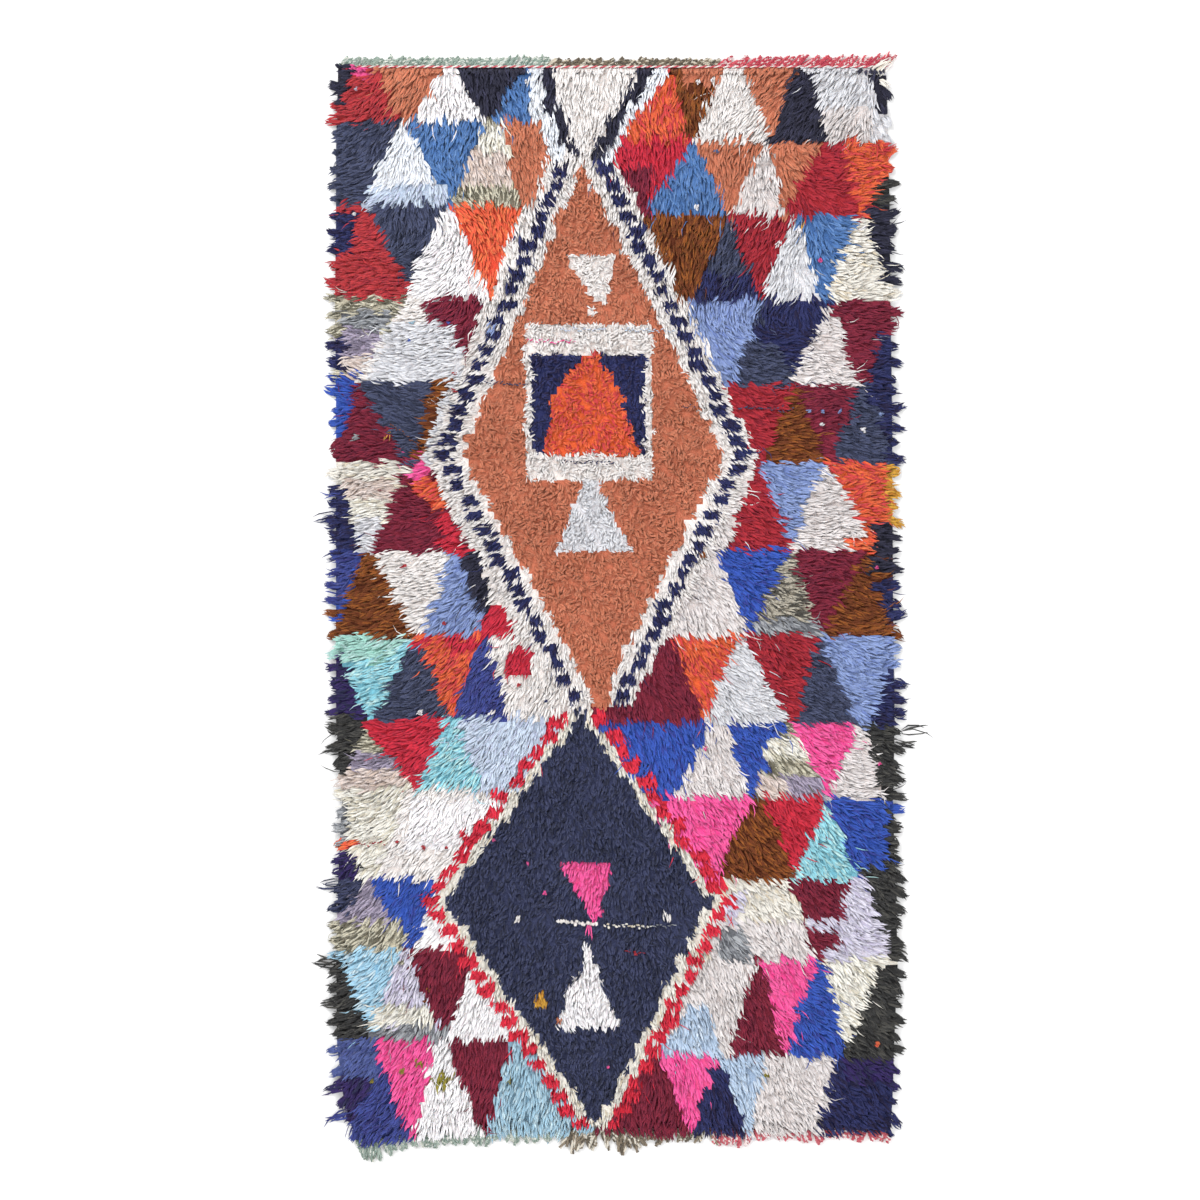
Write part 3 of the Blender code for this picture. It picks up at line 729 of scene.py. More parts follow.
def in_lozenges(across, down, margin):
    """True inside a lozenge and within that share of its rings' width."""
    found = np.zeros(len(across), bool)
    for lozenge in LOZENGES:
        reach = max(ring.far for ring in lozenge.rings)
        found |= lozenge_offset(lozenge, across, down)[0] <= reach * margin
    return found


def pile_rise(across, down):
    """Height of the pile's tips over the weave, lower inside the lozenges."""
    return np.where(in_lozenges(across, down, 0.0), LOZENGE_RISE, PILE_RISE)


def sow(pitch, rng):
    """Places of the knots on a brick grid, a little off it, and clear of the selvedges."""
    columns = np.arange(int(GRID_WIDTH / pitch))
    rows = np.arange(int(GRID_LENGTH / pitch))
    column, row = np.meshgrid(columns, rows)
    x = GRID_LEFT + (column + 0.5 * (row % 2)) * pitch
    y = GRID_FOOT + row * pitch
    x = x.ravel() + rng.uniform(-GRID_SHIFT, GRID_SHIFT, x.size) * pitch
    y = y.ravel() + rng.uniform(-GRID_SHIFT, GRID_SHIFT, y.size) * pitch
    sides = np.minimum(x - edge_left(y), edge_right(y) - x)
    keep = (sides > SIDE_CLEAR) & (outside(x, y) < -END_CLEAR)
    return x[keep], y[keep]


def tuft_strands(x, y, angle, reach, rise, tuft, rng):
    """Strands of each knot, whose tips draw together as wool does, and their knots' numbers."""
    total = len(x) * tuft.count
    strands = np.zeros(total, STRAND)
    knot = np.repeat(np.arange(len(x)), tuft.count)
    shift = rng.uniform(-0.5, 0.5, (total, 2)) * tuft.spread
    strands["root"] = np.column_stack((x[knot], y[knot])) + shift
    length = reach[knot] * rng.normal(1.0, REACH_SPREAD, total)
    turn = angle[knot] + rng.normal(0.0, TURN_SPREAD, total)
    along = np.column_stack((np.cos(turn), np.sin(turn)))
    strands["reach"] = along * length[:, None] - shift * tuft.gather
    strands["bend"] = rng.normal(0.0, BEND_SPREAD, total) * length
    strands["rise"] = rise[knot] * rng.normal(1.0, RISE_SPREAD, total)
    strands["width"] = tuft.width * rng.normal(1.0, WIDTH_SPREAD, total)
    strands["shade"] = rng.normal(1.0, SHADE_SPREAD, total)
    strands["fleck"] = rng.uniform(0, 1, total)
    return strands, knot


def lobes(x, y):
    """Longer and shorter pile by turns along the selvedges, which gathers it into lobes."""
    inset = np.minimum(x - edge_left(y), edge_right(y) - x)
    strength = LOBE_DEPTH * np.clip(1 - inset / LOBE_REACH, 0, 1) * swayed(1, x, y, LOBE_NOISES)
    return 1 + strength * (np.sin(y / LOBE_PITCH * 2 * math.pi) - LOBE_LEVEL)


def field_strands(tuft, rng):
    """The pile itself: long in the bands, clipped shorter inside the lozenges."""
    fine = tuft is LOZENGE_TUFT
    x, y = sow(tuft.spread, rng)
    across, down = to_chart(x, y)
    near = in_lozenges(across, down, 1.0)
    x, y, across, down = (part[near == fine] for part in (x, y, across, down))
    inner = in_lozenges(across, down, 0.0)
    copper = inner & (down < LOZENGES[0].foot)
    figured = inner & ~copper & (chart(across, down) != CODE["slate"])
    scatters = (FIGURE_SCATTER, COPPER_SCATTER, SLATE_SCATTER)
    scatter = np.select((figured, copper, inner), scatters, BAND_SCATTER)
    angle = swayed(lie_angle(across, down), x, y, LIE_NOISES)
    angle = angle + rng.normal(0, 1, len(x)) * scatter
    full = BORDER_REACH if fine else PILE_REACH
    reach = np.select((figured, inner), (BORDER_REACH, LOZENGE_PILE_REACH), full)
    reach = reach * swayed(1, x, y, REACH_NOISES) * lobes(x, y)
    rise = pile_rise(across, down) * swayed(1, x, y, RISE_NOISES)
    strands, knot = tuft_strands(x, y, angle, reach, rise, tuft, rng)
    if fine:
        places = strands["root"] + strands["reach"] * FINE_SHOWN_SHARE
        strands["code"] = chart(*to_chart(*places.T))
    else:
        shown = reach * SHOWN_SHARE
        places = to_chart(x + np.cos(angle) * shown, y + np.sin(angle) * shown)
        strands["code"] = chart(*places)[knot]
    strands["shade"] *= swayed(1, x, y, SHADE_NOISES)[knot]
    return strands


def rim_strands(rng):
    """Locks that stand out past the selvedges, each drawn to a point."""
    places = []
    for side, edge in ((-1, edge_left), (1, edge_right)):
        y = (np.arange(-RIM_LOCKS, RIM_LOCKS) + LOBE_CREST) * LOBE_PITCH
        y = y + rng.uniform(-RIM_SHIFT, RIM_SHIFT, len(y)) * LOBE_PITCH
        places.append(np.column_stack((edge(y) - side * RIM_INSET, y)))
    x, y = np.concatenate(places).T
    across, down = to_chart(x, y)
    angle = lie_angle(across, down) + rng.normal(0, RIM_SCATTER, len(x))
    reach = np.where(x < 0, LEFT_LOCK_REACH, RIGHT_LOCK_REACH) * rng.uniform(*RIM_REACHES, len(x))
    rise = rng.uniform(*RIM_RISES, len(x))
    strands, knot = tuft_strands(x, y, angle, reach, rise, RIM_TUFT, rng)
    strands["code"] = chart(across, down)[knot]
    return strands


def head_strands(rng):
    """First row of knots, short and upright, that covers the weave at the head line."""
    x = np.arange(*HEAD_ROW, HEAD_PITCH)
    y = np.full(len(x), HEAD_LINE - HEAD_INSET)
    across, down = to_chart(x, y)
    angle = lie_angle(across, down) + rng.normal(0, HEAD_SCATTER, len(x))
    reach = rng.uniform(*HEAD_REACHES, len(x))
    rise = np.full(len(x), HEAD_RISE)
    strands, knot = tuft_strands(x, y, angle, reach, rise, HEAD_TUFT, rng)
    strands["code"] = chart(across, down + HEAD_COLOUR_DOWN)[knot]
    return strands


def odd_locks(rng):
    """Long locks and wisps that have pulled out of line."""
    rows = []
    for lock in ODD_LOCKS:
        x, y = from_chart(np.array([lock.across]), np.array([lock.down]))
        angle = np.radians(np.array([lock.angle], float))
        reach, rise = np.array([lock.reach]), np.array([ODD_RISE])
        tuft = Tuft(lock.count, lock.width, lock.spread, ODD_GATHER)
        strands, _ = tuft_strands(x, y, angle, reach, rise, tuft, rng)
        strands["code"] = CODE[lock.yarn]
        rows.append(strands)
    return np.concatenate(rows)


def speck_strands(rng):
    """Single knots of another colour, standing on the pile."""
    yarns, *places = zip(*SPECKS)
    across, down, radius = (np.array(column) for column in places)
    code = np.array([CODE[yarn] for yarn in yarns])
    x, y = from_chart(across, down)
    angle = lie_angle(across, down)
    reach = radius * CM * SPECK_REACH
    x = x - np.cos(angle) * reach * 0.5
    y = y - np.sin(angle) * reach * 0.5
    rise = pile_rise(across, down) * ON_TOP
    strands, knot = tuft_strands(x, y, angle, reach, rise, SPECK_TUFT, rng)
    shift = rng.uniform(-SPECK_SPREAD, SPECK_SPREAD, (len(knot), 2)) * (radius[knot] * CM)[:, None]
    strands["root"] = np.column_stack((x, y))[knot] + shift
    strands["code"] = code[knot]
    return strands


def thread_strands(rng):
    """Loose weft ends, each a row of short overlapping strands."""
    rows = []
    for thread in THREADS:
        length = math.hypot(thread.to_across - thread.across, thread.to_down - thread.down)
        count = max(3, int(length / THREAD_STEP))
        part = np.linspace(0, 1, count)
        across = thread.across + part * (thread.to_across - thread.across)
        down = thread.down + part * (thread.to_down - thread.down)
        x, y = from_chart(across, down)
        angle = math.atan2(thread.down - thread.to_down, thread.to_across - thread.across)
        angle = np.full(count, angle) + rng.normal(0, THREAD_SCATTER, count)
        reach = np.full(count, THREAD_REACH)
        rise = pile_rise(across, down) * ON_TOP
        tuft = Tuft(1, thread.width, THREAD_SPREAD, 0.0)
        strands, _ = tuft_strands(x, y, angle, reach, rise, tuft, rng)
        strands["code"] = CODE[thread.yarn]
        rows.append(strands)
    return np.concatenate(rows)


def stray_strands(rng):
    """Long thin curved wisps that have worked loose."""
    x = rng.uniform(*STRAYS_ACROSS, STRAYS)
    y = rng.uniform(*STRAYS_ALONG, STRAYS)
    across, down = to_chart(x, y)
    keep = ~in_lozenges(across, down, STRAY_MARGIN)
    x, y, across, down = x[keep], y[keep], across[keep], down[keep]
    angle = lie_angle(across, down) + rng.normal(0, STRAY_SCATTER, len(x))
    reach = rng.uniform(*STRAY_REACHES, len(x))
    rise = np.full(len(x), STRAY_RISE)
    strands, _ = tuft_strands(x, y, angle, reach, rise, STRAY_TUFT, rng)
    strands["bend"] *= STRAY_BEND
    strands["code"] = chart(across, down)
    return strands


def strand_path(strands):
    """Root, ring centres and tip of each strand: up out of the weave, over, and down past a rim."""
    root = strands["root"]
    tip = root + strands["reach"]
    length = np.linalg.norm(strands["reach"], axis=1)
    sideways = np.column_stack((-strands["reach"][:, 1], strands["reach"][:, 0]))
    sideways = sideways / length[:, None]
    control = root + BEND_PLACE * strands["reach"] + sideways * strands["bend"][:, None]
    centres = []
    for place in (0.0, *RING_PLACES, 1.0):
        flat = (1 - place) ** 2 * root + 2 * place * (1 - place) * control + place ** 2 * tip
        height = BASE_HEIGHT + strands["rise"] * (1 - (1 - place) ** RISE_CURVE)
        past = np.clip(outside(flat[:, 0], flat[:, 1]) / RIM_FALL, 0, 1)
        low = FLOOR_GAP + 0.5 * strands["width"]
        height = np.maximum(height * (1 - past) + low * past, low)
        centres.append(np.column_stack((flat, height)))
    return np.stack(centres, axis=1)


def beside_and_above(points):
    """Unit directions beside and above each point of a path, or of each path in a stack."""
    along = np.gradient(points, axis=-2)
    along = along / np.linalg.norm(along, axis=-1, keepdims=True)
    side = np.cross(along, (0.0, 0.0, 1.0))
    side = side / np.maximum(np.linalg.norm(side, axis=-1, keepdims=True), 1e-9)
    return side, np.cross(side, along)


def strand_vertices(strands):
    """Root, corners of every ring, and tip, for each strand, with soft normals that lean upward."""
    centres = strand_path(strands)
    side, up = beside_and_above(centres)
    corners = [centres[:, 0]]
    normals = [up[:, 0]]
    for ring, share in enumerate(RING_WIDTHS, 1):
        radius = (strands["width"] * 0.5 * share)[:, None]
        for turn in np.radians(CORNER_TURNS):
            across = math.cos(turn) * side[:, ring]
            above = math.sin(turn) * up[:, ring]
            corners.append(centres[:, ring] + radius * (across + above * FLATNESS))
            normals.append(across * NORMAL_SPREAD + up[:, ring])
    corners.append(centres[:, -1])
    normals.append(up[:, -1])
    normals = np.stack(normals, axis=1)
    normals = normals / np.linalg.norm(normals, axis=2, keepdims=True)
    return np.stack(corners, axis=1), normals


def strand_faces():
    """Faces of one strand as corner numbers, and the bake map places of their corners."""
    rings = [[1 + ring * SIDES + corner for corner in range(SIDES)] for ring in range(len(RING_PLACES))]
    tip = STRAND_CORNERS - 1
    quads, tris, quad_places, tri_places = [], [], [], []
    for corner in range(SIDES):
        nearby = (corner + 1) % SIDES
        left, right = corner / SIDES, (corner + 1) / SIDES
        middle = (left + right) / 2
        for ring in range(len(rings) - 1):
            low, high = rings[ring], rings[ring + 1]
            below, above = RING_PLACES[ring], RING_PLACES[ring + 1]
            quads.append((low[corner], high[corner], high[nearby], low[nearby]))
            quad_places += [(left, below), (left, above), (right, above), (right, below)]
        tris.append((0, rings[0][corner], rings[0][nearby]))
        tri_places += [(middle, 0.0), (left, RING_PLACES[0]), (right, RING_PLACES[0])]
        tris.append((rings[-1][corner], tip, rings[-1][nearby]))
        tri_places += [(left, RING_PLACES[-1]), (middle, 1.0), (right, RING_PLACES[-1])]
    return np.array(quads), np.array(tris), np.array(quad_places), np.array(tri_places)


def fill_mesh(mesh, vertices, quads, tris=()):
    """Write vertices and faces, quads before triangles, into a mesh."""
    tris = np.reshape(tris, (-1, 3)).astype(int)
    mesh.vertices.add(len(vertices))
    mesh.vertices.foreach_set("co", vertices.astype(np.float32).ravel())
    loops = np.concatenate((quads.ravel(), tris.ravel()))
    mesh.loops.add(len(loops))
    mesh.loops.foreach_set("vertex_index", loops.astype(np.int32))
    sizes = np.concatenate((np.full(len(quads), 4), np.full(len(tris), 3)))
    starts = np.concatenate(([0], np.cumsum(sizes)[:-1]))
    mesh.polygons.add(len(sizes))
    mesh.polygons.foreach_set("loop_start", starts.astype(np.int32))
    mesh.polygons.foreach_set("loop_total", sizes.astype(np.int32))
    mesh.polygons.foreach_set("use_smooth", np.ones(len(sizes), bool))
    mesh.update(calc_edges=True)
    mesh.validate()


def colour_layer(mesh, values, domain="POINT"):
    """Store three numbers with each vertex or face corner."""
    layer = mesh.color_attributes.new("Yarn", "FLOAT_COLOR", domain)
    data = np.ones((len(values), 4), np.float32)
    data[:, :3] = values
    layer.data.foreach_set("color", data.ravel())


def map_layer(mesh, name, places):
    """Store a map place with each face corner."""
    layer = mesh.uv_layers.new(name=name)
    layer.data.foreach_set("uv", places.astype(np.float32).ravel())


def add_object(name, mesh, *materials):
    for material in materials:
        mesh.materials.append(material)
    piece = bpy.data.objects.new(name, mesh)
    bpy.context.scene.collection.objects.link(piece)
    return piece


def strand_object(name, strands, material, share):
    """One object of many strands."""
    count = len(strands)
    vertices, normals = strand_vertices(strands)
    start = np.arange(count)[:, None, None] * STRAND_CORNERS
    quads, tris, quad_places, tri_places = strand_faces()
    mesh = bpy.data.meshes.new(name)
    fill_mesh(mesh, vertices.reshape(-1, 3), (quads + start).reshape(-1, 4), tris + start)
    mesh.normals_split_custom_set_from_vertices(normals.reshape(-1, 3))

    odd = np.where(strands["fleck"] < share, 1.0, strands["fleck"] * DULL_FLECK)
    values = np.empty((count, STRAND_CORNERS, 3))
    values[..., 0] = strands["shade"][:, None]
    values[..., 1] = odd[:, None]
    # Third number: place along the strand, which the wool material uses to paint shade at the roots
    values[..., 2] = np.concatenate(([0.0], np.repeat(RING_PLACES, SIDES), [1.0]))
    colour_layer(mesh, values.reshape(-1, 3))

    cells = math.ceil(math.sqrt(count))
    cell = np.column_stack((np.arange(count) % cells, np.arange(count) // cells))[:, None]
    spots = [
        (cell + BAKE_MARGIN + places * (1 - 2 * BAKE_MARGIN)).reshape(-1, 2) / cells
        for places in (quad_places, tri_places)
    ]
    map_layer(mesh, "OFBake", np.concatenate(spots))
    return add_object(name, mesh, material)


class Nodes:
    """Short ways to add and join the nodes of one material."""

    def __init__(self, name):
        self.material = bpy.data.materials.new(name)
        self.material.use_nodes = True
        self.tree = self.material.node_tree
        self.shader = self.tree.nodes["Principled BSDF"]

    def add(self, kind, **settings):
        node = self.tree.nodes.new(kind)
        for key, value in settings.items():
            setattr(node, key, value)
        return node

    def join(self, value, socket):
        """Set a socket to a number or colour, or link it from another socket."""
        if isinstance(value, bpy.types.NodeSocket):
            self.tree.links.new(value, socket)
        else:
            socket.default_value = value

    def yarn(self):
        """The three numbers kept with each vertex or face corner."""
        return self.add("ShaderNodeAttribute", attribute_name="Yarn").outputs["Color"]

    def maths(self, operation, first, second=0.0):
        node = self.add("ShaderNodeMath", operation=operation)
        self.join(first, node.inputs[0])
        self.join(second, node.inputs[1])
        return node.outputs[0]

    def span(self, value, low, high, to_low, to_high):
        """Carry a value from one range to another."""
        node = self.add("ShaderNodeMapRange")
        for socket, number in zip(node.inputs, (value, low, high, to_low, to_high)):
            self.join(number, socket)
        return node.outputs[0]

    def mix(self, share, first, second, blend="MIX"):
        node = self.add("ShaderNodeMix", data_type="RGBA", blend_type=blend)
        self.join(share, node.inputs[0])
        self.join(first, node.inputs[6])
        self.join(second, node.inputs[7])
        return node.outputs[2]

    def times(self, colour, light):
        """A colour made darker or lighter by a number."""
        grey = self.add("ShaderNodeCombineColor")
        for socket in grey.inputs[:3]:
            self.join(light, socket)
        return self.mix(1.0, colour, grey.outputs[0], "MULTIPLY")

    def noise(self, scale, detail=3.0):
        place = self.add("ShaderNodeTexCoord").outputs["Object"]
        node = self.add("ShaderNodeTexNoise")
        self.join(place, node.inputs["Vector"])
        node.inputs["Scale"].default_value = scale
        node.inputs["Detail"].default_value = detail
        return node.outputs["Fac"]

    def fibre(self, colour, scale, low, high):
        """A colour times a fibre noise between two brightnesses."""
        return self.times(colour, self.span(self.noise(scale, 4.0), *NOISE_RANGE, low, high))

    def bump(self, height, distance, strength=1.0):
        node = self.add("ShaderNodeBump")
        node.inputs["Distance"].default_value = distance
        node.inputs["Strength"].default_value = strength
        self.join(height, node.inputs["Height"])
        self.join(node.outputs[0], self.shader.inputs["Normal"])

    def finish(self, colour, roughness=0.92, sheen=0.08):
        """Matt fibre that light passes a little way through."""
        self.join(colour, self.shader.inputs["Base Color"])
        self.shader.inputs["Roughness"].default_value = roughness
        self.shader.inputs["Specular IOR Level"].default_value = 0.18
        self.shader.inputs["Sheen Weight"].default_value = sheen
        self.shader.inputs["Sheen Roughness"].default_value = 0.5
        self.shader.inputs["Subsurface Weight"].default_value = 0.42
        self.shader.inputs["Subsurface Radius"].default_value = (1.0, 0.85, 0.75)
        self.shader.inputs["Subsurface Scale"].default_value = 0.005
        return self.material


# Where the values of a noise mostly lie, and the scales of the materials' noises
NOISE_RANGE = (0.3, 0.7)
HEATHER_SCALE = 230.0
FIBRE_SCALE = 620.0
FUZZ_SCALE = 1500.0
FEET_SCALE = 260.0
FEET_FIBRE_SCALE = 300.0
BACK_SCALE = 900.0
BACK_FIBRE_SCALE = 500.0
WARP_SCALE = 1800.0
WARP_FIBRE_SCALE = 700.0
WEFT_COLOUR = (186, 176, 160)

# Wool: its odd fibres, the painted shade from its roots to its tips, and how much its fibres differ in
# shade. Painted shade darkens the roots, deeper in dark wool, and fibres differ more in dark wool
HEATHER_RANGE = (0.50, 0.66)
HEATHER_GAIN = 1.8
PAINTED_ROOT_SHADE = 0.95
EXTRA_PAINTED_ROOT_SHADE = 0.08
ROOT_LENGTH = 0.6
TIP_SHADE = 1.02
FIBRE_SWING = 0.06
DARK_SWING = 0.12


def wool(yarn):
    """Matt carded wool: odd strands, painted shade at the roots, fibre streaks and fuzz."""
    nodes = Nodes(f"wool_{yarn.name}")
    parts = nodes.add("ShaderNodeSeparateColor")
    nodes.join(nodes.yarn(), parts.inputs[0])
    shade, odd, along = parts.outputs
    heather = nodes.noise(HEATHER_SCALE, 2.0)
    heather = nodes.span(heather, *HEATHER_RANGE, 0.0, min(1.0, HEATHER_GAIN * yarn.share))
    odd = nodes.maths("MAXIMUM", odd, heather)
    base = nodes.mix(odd, (*linear(yarn.colour), 1.0), (*linear(yarn.fleck), 1.0))
    depth = 1.0 - sum(linear(yarn.colour)) / 3
    swing = FIBRE_SWING + DARK_SWING * depth ** 2
    # Painted shade: roots darkened where the strands crowd, more so in dark wool, easing to slightly
    # lighter tips
    roots = nodes.span(along, 0.0, ROOT_LENGTH, PAINTED_ROOT_SHADE - EXTRA_PAINTED_ROOT_SHADE * depth, TIP_SHADE)
    fibre = nodes.span(nodes.noise(FIBRE_SCALE, 4.0), *NOISE_RANGE, 1.0 - swing, 1.0 + swing)
    light = nodes.maths("MULTIPLY", nodes.maths("MULTIPLY", shade, roots), fibre)
    nodes.bump(nodes.noise(FUZZ_SCALE, 3.0), 0.0008, 0.35)
    return nodes.finish(nodes.times(base, light))


def dress(piece, slot, *replaced):
    """Let a piece ride with the rug and stand for its CAD nodes; the slot is not used."""
    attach(piece, "root")
    if replaced:
        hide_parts(*replaced)


def build_pile(rng):
    strands = np.concatenate((
        field_strands(BAND_TUFT, rng),
        field_strands(LOZENGE_TUFT, rng),
        rim_strands(rng),
        head_strands(rng),
        odd_locks(rng),
        speck_strands(rng),
        thread_strands(rng),
        stray_strands(rng),
    ))
    strands["shade"] = np.clip(strands["shade"], *SHADE_LIMITS)
    for yarn in YARNS:
        own = strands[strands["code"] == CODE[yarn.name]]
        if len(own):
            piece = strand_object(f"pile_{yarn.name}", own, wool(yarn), yarn.share)
            dress(piece, "pile", "pile_field")


# Foundation, with the thick feet of the pile on it
WEAVE_HEIGHT = 0.0025
PILE_FEET_HEIGHT = 0.0118
CLIPPED_FEET_HEIGHT = 0.0082
FEET_SLOPE = 0.022
FOUNDATION_COLUMNS = 88
FOUNDATION_ROWS = 136
KNOTS_A_CELL = 2


def foundation_grid():
    """Outline grid of the field: rows from foot to head, each from left to right."""
    u = np.linspace(0, 1, FOUNDATION_COLUMNS + 1)[None, :]
    v = np.linspace(0, 1, FOUNDATION_ROWS + 1)[:, None]
    guess = edge_left(0.0) + u * (edge_right(0.0) - edge_left(0.0))
    y = edge_foot(guess) + v * (HEAD_LINE - edge_foot(guess))
    x = edge_left(y) + u * (edge_right(y) - edge_left(y))
    return x, y


def slab_faces(rows, columns):
    """Quads of a closed slab whose top grid comes first and then the same grid below it."""
    number = np.arange(rows * columns).reshape(rows, columns)
    below = number + rows * columns
    top = np.stack((number[:-1, :-1], number[:-1, 1:], number[1:, 1:], number[1:, :-1]), -1)
    bottom = np.stack((below[:-1, :-1], below[1:, :-1], below[1:, 1:], below[:-1, 1:]), -1)
    rim = np.concatenate((number[0, :-1], number[:-1, -1], number[-1, :0:-1], number[:0:-1, 0]))
    after = np.roll(rim, -1)
    wall = np.stack((rim, rim + rows * columns, after + rows * columns, after), -1)
    return np.concatenate((top.reshape(-1, 4), bottom.reshape(-1, 4), wall))


def slab_mesh(name, x, y, heights):
    """A closed slab over a grid of places, flat below."""
    top = np.stack((x, y, heights), -1).reshape(-1, 3)
    bottom = top * (1, 1, 0)
    mesh = bpy.data.meshes.new(name)
    quads = slab_faces(*x.shape)
    fill_mesh(mesh, np.concatenate((top, bottom)), quads)
    return mesh, quads


def pile_feet(name):
    """Crowded roots of the pile, seen in the gaps between strands."""
    nodes = Nodes(name)
    nodes.bump(nodes.noise(FEET_SCALE, 3.0), 0.004)
    return nodes.finish(nodes.fibre(nodes.yarn(), FEET_FIBRE_SCALE, 0.86, 1.04), 0.95, 0.05)


def woven_back(name):
    """Back of the weave: knots in their own colours between rows of undyed weft, with painted shade in the
    seams between knot columns.
    """
    nodes = Nodes(name)
    grid = nodes.add("ShaderNodeUVMap", uv_map="Weave").outputs["UV"]
    parts = nodes.add("ShaderNodeSeparateXYZ")
    nodes.join(grid, parts.inputs[0])
    turns = [nodes.maths("MULTIPLY", part, KNOTS_A_CELL * math.pi) for part in parts.outputs[:2]]
    column, row = (nodes.maths("ABSOLUTE", nodes.maths("SINE", turn)) for turn in turns)
    weft = nodes.span(row, 0.18, 0.42, 1.0, 0.0)
    knots = nodes.mix(weft, nodes.yarn(), (*linear(WEFT_COLOUR), 1.0))
    # Painted shade: darker in the seams between knot columns, where the bump has its valleys
    knots = nodes.times(knots, nodes.span(column, 0.0, 0.4, 0.62, 1.0))
    fuzz = nodes.maths("MULTIPLY", nodes.noise(BACK_SCALE), 0.35)
    nodes.bump(nodes.maths("ADD", nodes.maths("MULTIPLY", row, column), fuzz), 0.002)
    return nodes.finish(nodes.fibre(knots, BACK_FIBRE_SCALE, 0.78, 1.1), 0.95, 0.05)


def build_foundation():
    x, y = foundation_grid()
    inset = np.clip(-outside(x, y) / FEET_SLOPE, 0, 1)
    clipped = in_lozenges(*to_chart(x.ravel(), y.ravel()), 0.0).reshape(x.shape)
    feet = np.where(clipped, CLIPPED_FEET_HEIGHT, PILE_FEET_HEIGHT)
    lumps = swayed(1, x, y, FEET_NOISES)
    heights = WEAVE_HEIGHT + (feet - WEAVE_HEIGHT) * inset * lumps
    mesh, quads = slab_mesh("foundation", x, y, heights)
    places = np.stack((x, y), -1).reshape(-1, 2)
    middles = places[quads % len(places)].mean(axis=1)
    codes = chart(*to_chart(*middles.T))
    colours = np.array([linear(yarn.colour) for yarn in YARNS])[codes]
    colour_layer(mesh, np.repeat(colours, 4, axis=0), "CORNER")
    grid = np.stack(np.meshgrid(np.arange(x.shape[1]), np.arange(x.shape[0])), -1).reshape(-1, 2)
    map_layer(mesh, "Weave", grid[quads.ravel() % len(grid)])
    top = FOUNDATION_COLUMNS * FOUNDATION_ROWS
    slots = np.zeros(len(quads), np.int32)
    slots[top:2 * top] = 1
    mesh.polygons.foreach_set("material_index", slots)
    piece = add_object("foundation", mesh, pile_feet("pile_feet"), woven_back("woven_back"))
    dress(piece, "pile", "pile_field")


End = namedtuple("End", "across length")
# How long the warp ends of the foot are along it, in tufts and gaps
FOOT_ENDS = (
    End(-0.499, 0.036), End(-0.455, 0.037), End(-0.425, 0.026), End(-0.388, 0.023), End(-0.340, 0.029),
    End(-0.300, 0.023), End(-0.262, 0.032), End(-0.225, 0.022), End(-0.190, 0.029), End(-0.150, 0.024),
    End(-0.118, 0.019), End(-0.106, 0.040), End(-0.062, 0.046), End(-0.040, 0.040), End(-0.030, 0.021),
    End(-0.018, 0.023), End(-0.010, 0.042), End(0.018, 0.042), End(0.028, 0.024), End(0.060, 0.020),
    End(0.078, 0.032), End(0.092, 0.020), End(0.122, 0.022), End(0.134, 0.031), End(0.158, 0.031),
    End(0.168, 0.029), End(0.215, 0.031), End(0.240, 0.027), End(0.256, 0.018), End(0.285, 0.025),
    End(0.312, 0.016), End(0.336, 0.028), End(0.364, 0.026), End(0.384, 0.014), End(0.425, 0.016),
    End(0.446, 0.024), End(0.502, 0.022),
)

# Heading strips
HEADING_DEPTH = 0.0072
HEADING_HEIGHT = 0.0032
HEADING_PLACES = 60
PIECE_GAP = 0.0003

# Warp ends: the spread of their lengths, leans and curls, and their two twisted plies
WARP_PITCH = 0.0074
WARP_ROOT = 0.003
WARP_SHIFT = 0.001
WARP_LENGTHS = (0.84, 1.18)
WARP_LEANS = (0.6, 1.4)
PARTNER_SHIFT = 0.0037
PARTNER_LEAN = 0.9
PARTNER_LENGTH = 0.86
CURL_SPREAD = 0.35
CURL_PLACE = 0.3
ARCH_TURN = 0.8
TIP_LIFT = 0.002
HEAD_PLY = 0.00190
FOOT_PLY = 0.00255
ORBIT_SHARE = 0.79
TWIST_LENGTH = 0.0095
PLY_SIDES = 4
PLY_STEPS = 7
END_TAPER = 0.6
COLOUR_CHANCES = (0.48, 0.24, 0.28)
COLOUR_SHADES = (0.88, 1.08)

# Twined cord at the head line: its two colours, a half turn apart
CORD_SPAN = (-0.530, 0.493)
CORD_STEP = 0.0024
CORD_TWIST_LENGTH = 0.017
CORD_ORBIT = 0.0012
CORD_PLY = 0.0015
CORD_INSET = 0.0016
CORD_LIFT = 0.0018
CORD_PLIES = ((0.0, (206, 92, 104)), (math.pi, (240, 232, 226)))

Fringe = namedtuple("Fringe", "name end left right length growth lean tangle slot colours")
